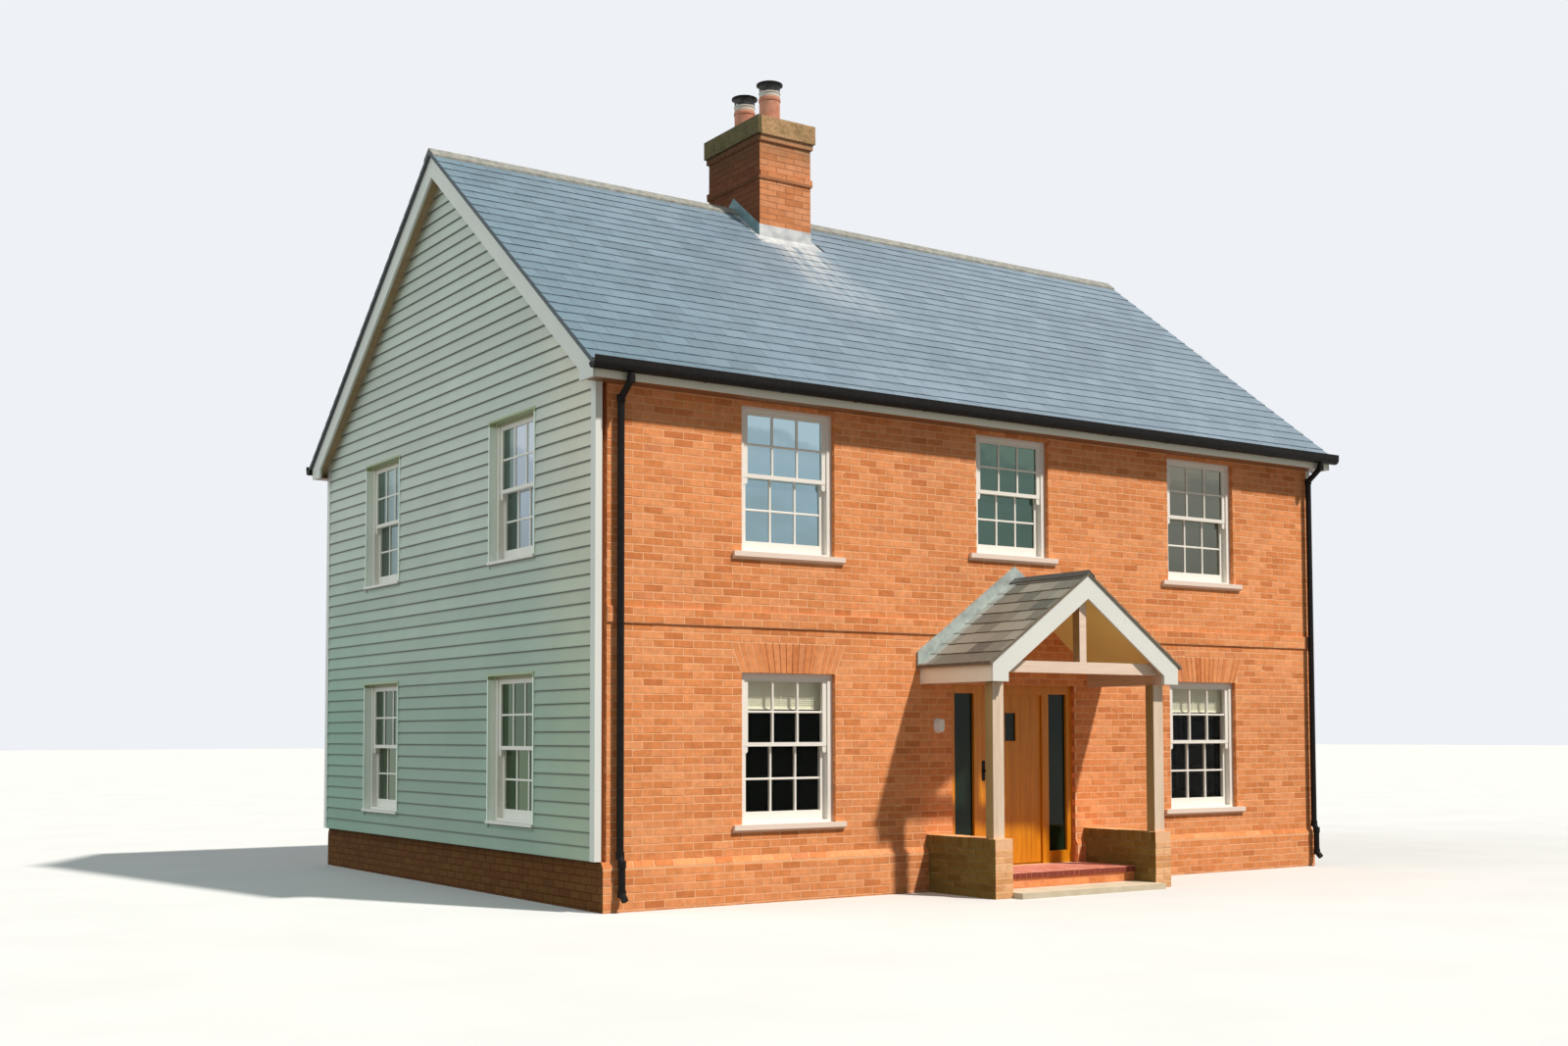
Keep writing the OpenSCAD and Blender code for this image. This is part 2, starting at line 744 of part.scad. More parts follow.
// Cowl: a flat lid carried on four legs that stand on the rim of the pot
module on_pots() {
    for (s = [-1, 1]) translate([chimney_x + pot_shift, s * pot_spacing / 2, cap_top + pot_height])
        children();
}
module chimney_cowls() {
    color(iron) on_pots() translate([0, 0, cowl_gap]) cylinder(r = cowl_radius, h = cowl_lid);
}
module cowl_legs() {
    color(iron) on_pots() for (a = [45:90:315]) rotate([0, 0, a])
        translate([pot_radius - pot_wall, -cowl_leg / 2, 0]) cube([cowl_leg, cowl_leg, cowl_gap]);
}
// Lead: a band round the stack lying on the slates, with an upstand against the brick
module chimney_flashing() {
    rise = lead_thickness / cos(roof_pitch);
    upstand = 0.8 * lead_width;
    w = chimney_width / 2;
    d = chimney_depth / 2;
    color(lead) difference() {
        union() {
            intersection() {
                along_x(chimney_x - w - lead_width / 2, chimney_x + w + lead_width / 2)
                    lead_on_slope(0, rise);
                translate([chimney_x - w - lead_width / 2, -d - lead_width, 0])
                    cube([2 * w + lead_width, 2 * (d + lead_width), 3 * wall_height]);
            }
            intersection() {
                along_x(chimney_x - w - lead_thickness, chimney_x + w + lead_thickness)
                    lead_on_slope(0, upstand / cos(roof_pitch));
                translate([chimney_x - w - lead_thickness, -d - lead_thickness, 0])
                    cube([2 * (w + lead_thickness), 2 * (d + lead_thickness), 3 * wall_height]);
            }
        }
        stack_hole();
        along_x(-slate_x, slate_x) ridge_section();
    }
}
module lead_on_slope(z0, z1) {
    y = half_depth;
    polygon([[0, slating_top(0) + z0], [-y, slating_top(y) + z0], [-y, slating_top(y) + z1],
        [0, slating_top(0) + z1], [y, slating_top(y) + z1], [y, slating_top(y) + z0]]);
}

// Flat arch of tapered bricks: whole bricks with the joints between them cut back
module flat_arch(w) {
    n = arch_bricks;
    z1 = arch_courses * course;
    half = w[1] / 2;
    top = half + arch_skew;
    difference() {
        along_y(0, arch_depth) arch_outline(w);
        for (i = [1:n - 1]) let (k = 2 * i / n - 1)
            translate([w[0], -eps, w[3]]) rotate([0, atan2(k * (top - half), z1), 0])
                translate([k * half - arch_joint / 2, 0, -course])
                    cube([arch_joint, arch_joint_depth + eps, 2 * z1]);
    }
}
module window_arches() {
    color(brick) {
        on_front() for (w = front_windows) if (is_low(w)) flat_arch(w);
        on_back() for (w = back_windows) if (is_low(w)) flat_arch(w);
    }
}

// Every window of the house; reveal is the depth at which its frame starts, lip how far
// its sill stands out of the brick line
module all_windows() {
    on_front() for (w = front_windows) one_window(w, window_reveal, sill_projection, sill_horn, $part);
    on_back() for (w = back_windows) one_window(w, window_reveal, sill_projection, sill_horn, $part);
    for (side = [0, 1]) mirror([side, 0, 0]) on_left() for (w = gable_windows)
        one_window(w, window_reveal / 5, cladding_projection + sill_projection / 2,
            lining_thickness, $part);
}
module one_window(w, reveal, lip, horn, part) {
    z0 = w[2] + sill_thickness;
    translate([w[0], reveal, z0]) {
        size = [w[1], w[3] - z0];
        if (part == "frame") window_frame(size, reveal, lip, horn);
        if (part == "upper") upper_sash(size);
        if (part == "lower") lower_sash(size);
        if (part == "glass") sash_glass(size);
    }
}
// Sash opening inside the frame: half width, foot and head
sash_foot = 24;
function sash_half(size) = size[0] / 2 - jamb;
function sash_head(size) = size[1] - frame_head;
function meeting(size) = (sash_head(size) + sash_foot + bottom_rail - top_rail) / 2;
sash_front = 14;

// A flat ring in the XZ plane: outer box x0..x1, z0..z1, with a hole
module ring(x0, z0, x1, z1, left, bottom, right, top, y, depth) {
    along_y(y, y + depth) difference() {
        translate([x0, z0]) square([x1 - x0, z1 - z0]);
        translate([x0 + left, z0 + bottom]) square([x1 - x0 - left - right, z1 - z0 - bottom - top]);
    }
}
module window_frame(size, reveal, lip, horn) {
    w = size[0] / 2;
    ring(-w, 0, w, size[1], jamb, sash_foot, jamb, frame_head, 0, frame_depth);
    translate([-w, -reveal, -sill_thickness]) cube([2 * w, reveal + frame_depth, sill_thickness]);
    translate([-w - horn, -reveal - lip, -sill_thickness])
        cube([2 * (w + horn), lip, sill_thickness]);
}
// Boards round a gable window, from the brick out through the weatherboards, on the sill
module window_linings() {
    out = cladding_projection + lining_projection;
    hood = cladding_projection + hood_projection;
    color(white) for (side = [0, 1]) mirror([side, 0, 0]) on_left() for (w = gable_windows)
        let (half = w[1] / 2, t = lining_thickness, z0 = w[2] + sill_thickness) translate([w[0], 0, 0]) {
            for (s = [0, 1]) mirror([s, 0, 0])
                translate([half, -out, z0]) cube([t, out, w[3] + t - z0]);
            translate([-half - t, -hood, w[3]]) cube([2 * (half + t), hood, t]);
        }
}
module upper_sash(size) {
    h = sash_half(size);
    ring(-h, meeting(size), h, sash_head(size), stile, meeting_rail, stile, top_rail,
        sash_front, sash_thickness);
}
module lower_sash(size) {
    h = sash_half(size);
    ring(-h, sash_foot, h, meeting(size) + meeting_rail, stile, bottom_rail, stile, meeting_rail,
        sash_front + sash_thickness, sash_thickness);
}
module sash_glass(size) {
    h = sash_half(size) - stile;
    m = meeting(size);
    mid = (sash_thickness - glass_thickness) / 2;
    translate([-h, sash_front + mid, m + meeting_rail])
        cube([2 * h, glass_thickness, sash_head(size) - top_rail - m - meeting_rail]);
    translate([-h, sash_front + sash_thickness + mid, sash_foot + bottom_rail])
        cube([2 * h, glass_thickness, m - sash_foot - bottom_rail]);
}
module window_frames() { color(white) all_windows($part = "frame"); }
module upper_sashes() { color(white) all_windows($part = "upper"); }
module lower_sashes() { color(white) all_windows($part = "lower"); }
module window_glass() { color("#9fb4bd", 0.6) all_windows($part = "glass"); }

// Door set: x is measured from the door axis, y from the wall face
module on_door() { translate([front_axis, -half_depth, 0]) children(); }
leaf_y = door_reveal + stop_depth + leaf_clearance;
leaf_bottom = floor_level + 2 * leaf_clearance;
leaf_half = leaf_width / 2;
leaf_gap_half = leaf_half + leaf_clearance;
leaf_top = door_head - door_frame_head - leaf_clearance;
sidelight_bottom = floor_level + sidelight_panel;
sidelight_x0 = leaf_gap_half + mullion;
sidelight_x1 = door_set_width / 2 - door_jamb;
hinge_y = leaf_y + leaf_thickness + hinge_radius + hinge_clearance;
hinge_x = leaf_half;
module door_frame() {
    h = door_head - floor_level;
    half = door_set_width / 2;
    stop_half = leaf_half - stop_lap;
    color(door_oak) on_door() difference() {
        translate([-half, door_reveal, floor_level])
            cube([2 * half, leaf_y + leaf_thickness - door_reveal, h]);
        translate([-stop_half, 0, floor_level + leaf_clearance])
            cube([2 * stop_half, wall_thickness, leaf_top - stop_lap - floor_level - leaf_clearance]);
        translate([-leaf_gap_half, leaf_y - leaf_clearance, floor_level + leaf_clearance])
            cube([2 * leaf_gap_half, wall_thickness, leaf_top - floor_level]);
        for (s = [0, 1]) mirror([s, 0, 0]) {
            translate([sidelight_x0, 0, sidelight_bottom])
                cube([sidelight_x1 - sidelight_x0, wall_thickness, leaf_top - sidelight_bottom]);
        }
    }
}
module sidelight_glass() {
    color("#2c3a36") on_door() for (s = [0, 1]) mirror([s, 0, 0])
        translate([sidelight_x0, door_reveal + stop_depth + 10, sidelight_bottom])
            cube([sidelight_x1 - sidelight_x0, 20, leaf_top - sidelight_bottom]);
}
vision_top = leaf_top - vision_drop;
module vision_hole(depth) {
    translate([-vision_width / 2, leaf_y + (leaf_thickness - depth) / 2, vision_top - vision_height])
        cube([vision_width, depth, vision_height]);
}
module front_door() {
    color(door_oak) on_door() difference() {
        translate([-leaf_half, leaf_y, leaf_bottom])
            cube([leaf_width, leaf_thickness, leaf_top - leaf_bottom]);
        vision_hole(2 * leaf_thickness);
    }
}
module door_glass() { color("#2c3a36") on_door() vision_hole(20); }
handle_x = -leaf_half + handle_inset;
module door_handle() {
    lever = handle_plate_width / 4;
    color(iron) on_door() for (face = [0, 1])
        translate([handle_x, leaf_y + leaf_thickness / 2, handle_height]) mirror([0, face, 0])
            translate([0, leaf_thickness / 2, 0]) {
                translate([-handle_plate_width / 2, 0, -handle_plate_length / 2])
                    cube([handle_plate_width, leaf_clearance, handle_plate_length]);
                rotate([-90, 0, 0]) cylinder(r = lever - 1, h = handle_reach);
                translate([-lever, handle_reach, 0]) rotate([0, 90, 0])
                    cylinder(r = lever, h = handle_length);
            }
}
// Knuckles on the hinge axis, each with a plate screwed to the frame
module door_hinges() {
    color(iron) on_door() for (z = [leaf_bottom + hinge_inset, (leaf_bottom + leaf_top) / 2,
            leaf_top - hinge_inset]) {
        translate([hinge_x, hinge_y, z - hinge_height / 2])
            cylinder(r = hinge_radius, h = hinge_height);
        translate([hinge_x, leaf_y + leaf_thickness, z - hinge_height / 2])
            translate([leaf_clearance, 0, 0]) cube([50, 5, hinge_height]);
        translate([hinge_x, leaf_y + leaf_thickness + hinge_clearance + hinge_radius - 2,
                z - hinge_height / 2])
            cube([leaf_clearance + 10, 4, hinge_height]);
        translate([hinge_x + leaf_clearance, leaf_y + leaf_thickness, z - hinge_height / 2])
            cube([10, hinge_radius + hinge_clearance + 2, hinge_height]);
    }
}

// Porch: x from the door axis, y from the wall face, so the porch is at -y
module against_wall() {
    difference() {
        children();
        along_x(-house_length, house_length) wall_section();
    }
}
module porch_walls() {
    color(brick) on_door() for (s = [0, 1]) mirror([s, 0, 0]) against_wall()
        translate([porch_width / 2 - dwarf_wall, -porch_projection, 0])
            cube([dwarf_wall, porch_projection + eps, dwarf_wall_height]);
}
porch_inside = porch_width / 2 - dwarf_wall;
// A slab between the dwarf walls, run on into the door opening
module porch_slab(depth, z0, z1) {
    against_wall() translate([-porch_inside, -depth, z0])
        cube([2 * porch_inside, depth + eps, z1 - z0]);
    translate([-door_set_width / 2, -plinth_projection - eps, z0])
        cube([door_set_width, plinth_projection + eps, z1 - z0]);
}
module porch_floor() {
    color(stone) on_door() porch_slab(porch_floor_depth, 0, porch_floor_height);
}
module door_step() {
    color(brick) on_door() {
        porch_slab(step_depth - nosing, porch_floor_height, floor_level - tread_thickness / 2);
        porch_slab(step_depth, floor_level - tread_thickness, floor_level);
    }
}
module porch_posts() {
    color(oak) on_door() for (s = [-1, 1])
        translate([s * post_spacing / 2 - post_side / 2, post_setback - truss_front, dwarf_wall_height])
            cube([post_side, post_depth, post_top - dwarf_wall_height]);
}

porch_slope = tan(porch_pitch);
porch_apex = porch_eaves_level + porch_slope * porch_eaves;
function porch_slating(x) = porch_apex - porch_slope * abs(x);
function porch_deck(x) = porch_slating(x) - seat;
function porch_ceiling(x) = porch_slating(x) - porch_rafter_depth / cos(porch_pitch);
function porch_timber(x) = porch_ceiling(x) - seat;
plate_outer = post_spacing / 2 + 50;
plate_inner = post_spacing / 2 - 50;
module porch_plates() {
    color(oak) on_door() for (s = [0, 1]) mirror([s, 0, 0])
        along_y(-porch_roof_projection + barge_thickness, 0) polygon([
            [plate_inner, post_top], [plate_outer, post_top],
            [plate_outer, porch_timber(plate_outer)], [plate_inner, porch_timber(plate_inner)]]);
}
// Tie beam between the plates and king post up to the ceiling
module porch_truss() {
    color(oak) on_door() along_y(-truss_front, -truss_front + truss_thickness) difference() {
        union() {
            translate([-plate_inner, tie_level]) square([2 * plate_inner, tie_height]);
            translate([-king_width / 2, tie_level]) square([king_width, porch_apex - tie_level]);
        }
        for (s = [0, 1]) mirror([s, 0]) polygon([[0, porch_timber(0)],
            [plate_outer, porch_timber(plate_outer)], [plate_outer, porch_apex], [0, porch_apex]]);
    }
}
module porch_roof_boards() {
    e = porch_eaves - fascia_thickness;
    color(cream) on_door() against_wall() along_y(-porch_roof_projection + barge_thickness, 0)
        for (s = [0, 1]) mirror([s, 0]) polygon([[0, porch_ceiling(0)], [e, porch_ceiling(e)],
            [e, porch_deck(e)], [0, porch_deck(0)]]);
}
porch_slate_x = porch_eaves + porch_slate_overhang;
porch_rows = floor(porch_slate_x / cos(porch_pitch) / slate_gauge);
porch_slating_rise = porch_slating_depth / cos(porch_pitch);
module porch_slate_half() {
    polygon(concat(
        [[0, porch_slating(0)], [porch_slate_x, porch_slating(porch_slate_x)]],
        [for (i = [0:porch_rows - 1]) for (d = [0, 1])
            let (x = porch_slate_x - (i + d) * slate_gauge * cos(porch_pitch))
            [x, porch_slating(x) + porch_slating_rise - d * slate_step]],
        [[0, porch_apex + porch_slating_rise - slate_step]]));
}
module porch_slates() {
    color(porch_slate) on_door() against_wall() along_y(-porch_roof_projection - porch_verge_overhang, 0)
        for (s = [0, 1]) mirror([s, 0]) porch_slate_half();
}
module porch_ridge() {
    color(lead) on_door() against_wall()
        along_y(-porch_roof_projection - porch_verge_overhang, 0) porch_ridge_section();
}
porch_top = porch_apex + porch_slating_rise;
module porch_ridge_section() {
    wing = porch_ridge_wing * cos(porch_pitch);
    for (s = [0, 1]) mirror([s, 0]) polygon([[0, porch_top + seat],
        [wing, porch_top + seat - porch_slope * wing],
        [wing, porch_top - porch_slope * wing + ridge_thickness], [0, porch_top + ridge_thickness]]);
}
module porch_bargeboards() {
    drop = porch_barge_depth / cos(porch_pitch);
    foot = porch_eaves_level - porch_fascia_height;
    inner = porch_eaves - porch_foot_width;
    color(white) on_door() along_y(-porch_roof_projection, -porch_roof_projection + barge_thickness)
        for (s = [0, 1]) mirror([s, 0]) polygon([[0, porch_deck(0)],
            [porch_eaves, porch_deck(porch_eaves)], [porch_eaves, foot], [inner, foot],
            [inner, porch_deck(inner) - drop], [0, porch_deck(0) - drop]]);
}
module porch_fascias() {
    color(cream) on_door() for (s = [0, 1]) mirror([s, 0, 0])
        along_y(-porch_roof_projection + barge_thickness, 0)
            polygon([[porch_eaves - fascia_thickness, porch_eaves_level - porch_fascia_height],
                [porch_eaves, porch_eaves_level - porch_fascia_height],
                [porch_eaves, porch_deck(porch_eaves)],
                [porch_eaves - fascia_thickness, porch_deck(porch_eaves - fascia_thickness)]]);
}
// Lead over the slates beside the wall, turned up against the brick and cut round the ridge
module porch_flashing() {
    x = porch_slate_x;
    low = porch_top + seat;
    t = lead_thickness / cos(porch_pitch);
    wing = porch_ridge_wing * cos(porch_pitch);
    over = porch_top + ridge_thickness + seat;
    color(lead) on_door() against_wall() difference() {
        union() {
            along_y(-lead_width, 0) for (s = [0, 1]) mirror([s, 0]) polygon([[0, low],
                [x, low - porch_slope * x], [x, low - porch_slope * x + t], [0, low + t]]);
            along_y(-string_projection - lead_thickness, 0) for (s = [0, 1]) mirror([s, 0])
                polygon([[0, low], [x, low - porch_slope * x],
                    [x, low - porch_slope * x + lead_width], [0, low + lead_width]]);
        }
        along_y(-porch_roof_projection, eps) polygon([
            [-wing - seat, porch_top - 4 * course], [wing + seat, porch_top - 4 * course],
            [wing + seat, over - porch_slope * wing], [0, over],
            [-wing - seat, over - porch_slope * wing]]);
    }
}

// Oval wall lamp: a back plate and a deeper glass
module oval(width, length) {
    for (s = [-1, 1]) translate([0, s * (length - width) / 2]) circle(d = width);
    square([width, length - width], center = true);
}
module wall_lamp() {
    color(white) translate([door_left - lamp_gap, -half_depth, lamp_height])
        rotate([90, 0, 0]) {
            linear_extrude(0.3 * lamp_depth) oval(lamp_width, lamp_length);
            linear_extrude(lamp_depth) oval(0.8 * lamp_width, lamp_length - 0.2 * lamp_width);
        }
}

ground_floor();
first_floor();
front_wall_left();
front_wall_right();
front_wall_over_door();
back_wall();
left_gable_wall();
right_gable_wall();
gable_plinths();
left_weatherboards();
right_weatherboards();
corner_boards();
front_roof_slope();
back_roof_slope();
front_slates();
back_slates();
ridge_tiles();
bargeboards();
fascias();
gutters();
downpipes();
chimney_stack();
chimney_cap();
chimney_pots();
chimney_cowls();
cowl_legs();
chimney_flashing();
window_arches();
window_frames();
window_linings();
upper_sashes();
lower_sashes();
window_glass();
door_frame();
sidelight_glass();
front_door();
door_glass();
door_handle();
door_hinges();
door_step();
porch_floor();
porch_walls();
porch_posts();
porch_plates();
porch_truss();
porch_roof_boards();
porch_slates();
porch_ridge();
porch_bargeboards();
porch_fascias();
porch_flashing();
wall_lamp();
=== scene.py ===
import bpy
import numpy as np
from math import atan2, copysign, cos, pi, radians, sin, tan
from mathutils import Matrix, Vector


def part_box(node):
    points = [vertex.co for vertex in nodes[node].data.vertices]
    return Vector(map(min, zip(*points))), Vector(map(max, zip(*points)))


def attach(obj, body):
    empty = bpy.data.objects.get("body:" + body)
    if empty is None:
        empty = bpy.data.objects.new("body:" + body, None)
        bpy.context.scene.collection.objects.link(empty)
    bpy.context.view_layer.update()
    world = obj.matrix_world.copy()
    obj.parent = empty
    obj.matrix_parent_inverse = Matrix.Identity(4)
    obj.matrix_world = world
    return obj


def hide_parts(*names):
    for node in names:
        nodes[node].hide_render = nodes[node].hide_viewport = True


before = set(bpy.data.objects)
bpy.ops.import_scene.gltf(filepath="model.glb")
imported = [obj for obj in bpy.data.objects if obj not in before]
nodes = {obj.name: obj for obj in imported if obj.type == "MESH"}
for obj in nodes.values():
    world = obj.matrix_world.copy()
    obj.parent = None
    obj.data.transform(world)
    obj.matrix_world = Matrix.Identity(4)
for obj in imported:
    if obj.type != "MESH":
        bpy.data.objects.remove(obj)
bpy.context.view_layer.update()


# ------------------------
# Camera: at eye height in front of the house and off to its left, turned right and tipped
# up by a few degrees, as the picture was taken. A 39.5 mm lens on a 36 mm wide picture.
eye = bpy.data.cameras.new("eye")
eye.lens, eye.sensor_width = 39.5496, 36.0
eye.shift_y = 0.07997
eye.clip_end = 500


def placed(name, data):
    made = bpy.data.objects.new(name, data)
    bpy.context.scene.collection.objects.link(made)
    return made


eye_stand = placed("eye", eye)
aim = (Matrix.Rotation(radians(-34.0527), 4, "Z") @ Matrix.Rotation(radians(92.8584), 4, "X")
    @ Matrix.Rotation(radians(-0.1351), 4, "Z"))
eye_stand.matrix_world = Matrix.Translation((-12.6434, -18.0127, 1.6591)) @ aim
bpy.context.scene.camera = eye_stand


# ------------------------
# Studio: a wide pale floor, a white surround that lights from all sides, one broad soft lamp
# from the front right, high enough for the eaves to shade the top courses, and a dim wide fill.
def tree_node(tree, kind, **inputs):
    """Adds a shader node; an input given a socket is linked, any other is set."""
    node = tree.nodes.new("ShaderNode" + kind)
    for key, value in inputs.items():
        if key.startswith("set_"):
            setattr(node, key[4:], value)
            continue
        socket = node.inputs[int(key[1:])] if key[0] == "i" and key[1:].isdigit() else node.inputs[key]
        if isinstance(value, bpy.types.NodeSocket):
            tree.links.new(value, socket)
        else:
            socket.default_value = value
    return node


def tree_of(*values):
    """The shader tree of the first socket among the values."""
    return next(value.id_data for value in values if isinstance(value, bpy.types.NodeSocket))


def finish(name, rough=0.6, metal=0.0, shine=0.5):
    """A new finish and the Object coordinates it reads."""
    made = bpy.data.materials.new(name)
    made.use_nodes = True
    surface = made.node_tree.nodes["Principled BSDF"]
    for socket, value in (("Roughness", rough), ("Metallic", metal), ("Specular IOR Level", shine)):
        surface.inputs[socket].default_value = value
    return made, made.node_tree.nodes.new("ShaderNodeTexCoord").outputs["Object"]


def coat(paint, value, socket="Base Color"):
    paint.node_tree.links.new(value, paint.node_tree.nodes["Principled BSDF"].inputs[socket])


def cloudy(place, scale, detail=3.0, rough=0.55):
    return tree_node(place.id_data, "TexNoise", Vector=place, Scale=scale, Detail=detail,
        Roughness=rough).outputs["Fac"]


def ramp(fac, *stops):
    """A colour band from (position, colour) stops, where a lone number is a grey."""
    band = tree_node(fac.id_data, "ValToRGB", Fac=fac)
    points = band.color_ramp.elements
    while len(points) < len(stops):
        points.new(0.5)
    for point, (at, colour) in zip(points, stops):
        point.position = at
        point.color = (*colour, 1) if isinstance(colour, tuple) else (colour,) * 3 + (1,)
    return band.outputs["Color"]


def mottled(place, scale, low, high, detail=3.0, ends=(0.3, 0.7), rough=0.55):
    """Soft clouds of two tones."""
    return ramp(cloudy(place, scale, detail, rough), (ends[0], low), (ends[1], high))


def blend(fac, a, b, kind="MIX"):
    tree = tree_of(fac, a, b)
    mix = tree.nodes.new("ShaderNodeMix")
    mix.data_type, mix.blend_type = "RGBA", kind
    for socket, value in ((mix.inputs[0], fac), (mix.inputs[6], a), (mix.inputs[7], b)):
        if isinstance(value, bpy.types.NodeSocket):
            tree.links.new(value, socket)
        else:
            socket.default_value = (*value, 1) if isinstance(value, tuple) else value
    return mix.outputs[2]


def sums(kind, a, b=0.0, c=0.0):
    return tree_node(tree_of(a, b, c), "Math", set_operation=kind, i0=a, i1=b, i2=c).outputs[0]


def in_view(tree):
    """1 for what is seen, also in gloss or through glass, 0 for the light on the house."""
    ways = tree.nodes.new("ShaderNodeLightPath").outputs
    return sums("MAXIMUM", ways["Is Camera Ray"],
        sums("MAXIMUM", ways["Is Glossy Ray"], ways["Is Transmission Ray"]))


def choose(*pieces):
    """Chooses these pieces only, with the first one active."""
    bpy.ops.object.select_all(action="DESELECT")
    for piece in pieces:
        piece.select_set(True)
        bpy.context.view_layer.objects.active = pieces[0]


choose()
bpy.ops.mesh.primitive_plane_add(size=400, location=(0, 0, 0))
floor = bpy.context.object
floor.name = "floor"
floor_paint, place = finish("floor_paint", rough=0.9, shine=0.2)
pale = mottled(place, 0.6, (0.69, 0.685, 0.67), (0.72, 0.715, 0.7), ends=(0.35, 0.65))
coat(floor_paint, blend(in_view(floor_paint.node_tree), (0.2, 0.185, 0.16), pale))
floor.data.materials.append(floor_paint)

surround = bpy.data.worlds.new("surround")
bpy.context.scene.world = surround
surround.use_nodes = True
tree = surround.node_tree
tree.nodes.clear()
shown = tree_node(tree, "Background", Color=(0.9, 0.93, 0.97, 1), Strength=0.95)
lit = tree_node(tree, "Background", Color=(0.86, 0.93, 1.0, 1), Strength=0.22)
both = tree_node(tree, "MixShader", Fac=in_view(tree), i1=lit.outputs[0], i2=shown.outputs[0])
tree_node(tree, "OutputWorld", Surface=both.outputs[0])

for name, energy, spread, colour, towards in (
        ("lamp_at_front_right", 4.15, 2.5, (1.0, 0.955, 0.89), (0.5, -1.0, 1.43)),
        ("fill_at_left", 1.22, 60, (0.82, 0.98, 0.97), (-1.0, 0.25, 0.7))):
    lamp = bpy.data.lights.new(name, "SUN")
    lamp.energy, lamp.angle, lamp.color = energy, radians(spread), colour
    placed(name, lamp).matrix_world = Vector(towards).to_track_quat("Z", "Y").to_matrix().to_4x4()
bpy.context.scene.view_settings.view_transform = "Standard"


# ------------------------
# Brickwork: hand-made orange bricks, 215 by 65 mm, in stretcher bond with buff lime mortar.
# The walls of the frame are the mortar; the bricks stand 2 mm out of it, each laid by itself.
def box_piece(name, size):
    """A sawn block of that size about the origin, the start of a pattern piece."""
    choose()
    bpy.ops.mesh.primitive_cube_add(size=1, location=(0, 0, 0))
    piece = bpy.context.object
    piece.name = piece.data.name = name
    piece.scale = size
    bpy.ops.object.transform_apply(location=False, rotation=False, scale=True)
    return piece


def edited(piece, operator, faces=None, edges=None, **settings):
    """Runs an operator of edit mode on the faces or edges that pass the test."""
    choose(piece)
    bpy.ops.object.mode_set(mode="EDIT")
    bpy.ops.mesh.select_mode(type="FACE" if faces else "EDGE")
    bpy.ops.mesh.select_all(action="DESELECT")
    bpy.ops.object.mode_set(mode="OBJECT")
    mesh = piece.data
    for face in mesh.polygons if faces else ():
        face.select = bool(faces(face.center, face.normal))
    for edge in mesh.edges if edges else ():
        edge.select = bool(edges(*(mesh.vertices[i].co for i in edge.vertices)))
    bpy.ops.object.mode_set(mode="EDIT")
    operator(**settings)
    bpy.ops.object.mode_set(mode="OBJECT")


def long_front(way):
    """Picks the long edges at the front of a bar that runs that way."""
    return lambda a, b: abs(a[way] - b[way]) > 0.1 and a.y < 0


def eased(name, size, edges, offset, segments=1, profile=0.5):
    """A sawn block with the edges bevelled that pass the test."""
    piece = box_piece(name, size)
    edited(piece, bpy.ops.mesh.bevel, edges=edges, offset=offset, segments=segments, profile=profile)
    return piece


def worked(piece, kind, **settings):
    """Adds a modifier and applies it."""
    choose(piece)
    change = piece.modifiers.new(kind.lower(), kind)
    for key, value in settings.items():
        setattr(change, key, value)
    bpy.ops.object.modifier_apply(modifier=change.name)


def copied_mesh(pattern, points, tones):
    """The pattern's faces once for each set of its points, with a tone at every point."""
    count, faces = len(pattern.data.vertices), [tuple(face.vertices) for face in pattern.data.polygons]
    mesh = bpy.data.meshes.new("copies")
    mesh.from_pydata(points.tolist(), [], [tuple(i + first for i in face)
        for first in range(0, len(points), count) for face in faces])
    tone = mesh.attributes.new("tone", "FLOAT", "POINT")
    tone.data.foreach_set("value", np.array(tones, np.float32))
    return mesh


def piece_of(name, mesh, paint, body="house"):
    """A piece of that mesh in one finish, on its body."""
    mesh.name = name
    mesh.materials.clear()
    mesh.materials.append(paint)
    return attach(placed(name, mesh), body)


def lay(name, pattern, places, paint, seed, body="house", uneven=0.0008):
    """Copies a pattern piece to many places as one mesh. A place is centre x, y, z, size x, y, z, turn about Z,
    tilt about X, slants of the left and right ends; what it leaves out is 0. Size 0 is the pattern's own, and
    bevels keep theirs."""
    rng = np.random.default_rng(seed)
    places = np.array([(*place, *[0] * (10 - len(place))) for place in places], float)
    spots = np.array([v.co for v in pattern.data.vertices])
    half = np.abs(spots).max(0)
    sizes = np.where(places[:, None, 3:6] > 0, places[:, None, 3:6] / 2, half)
    shape = spots[None] + np.sign(spots)[None] * (sizes - half)
    shape[..., 0] += np.where(spots[:, 0] < 0, places[:, 8:9], places[:, 9:10]) * shape[..., 2]
    shape += rng.normal(0, uneven, shape.shape)
    t, a = places[:, 7:8], places[:, 6:7]
    y = shape[..., 1] * np.cos(t) - shape[..., 2] * np.sin(t)
    z = shape[..., 1] * np.sin(t) + shape[..., 2] * np.cos(t)
    x = shape[..., 0] * np.cos(a) - y * np.sin(a)
    y = shape[..., 0] * np.sin(a) + y * np.cos(a)
    shape = np.stack([x, y, z], -1) + places[:, None, :3]
    tones = np.repeat(rng.random(len(places)), len(spots))
    return piece_of(name, copied_mesh(pattern, shape.reshape(-1, 3), tones), paint, body)


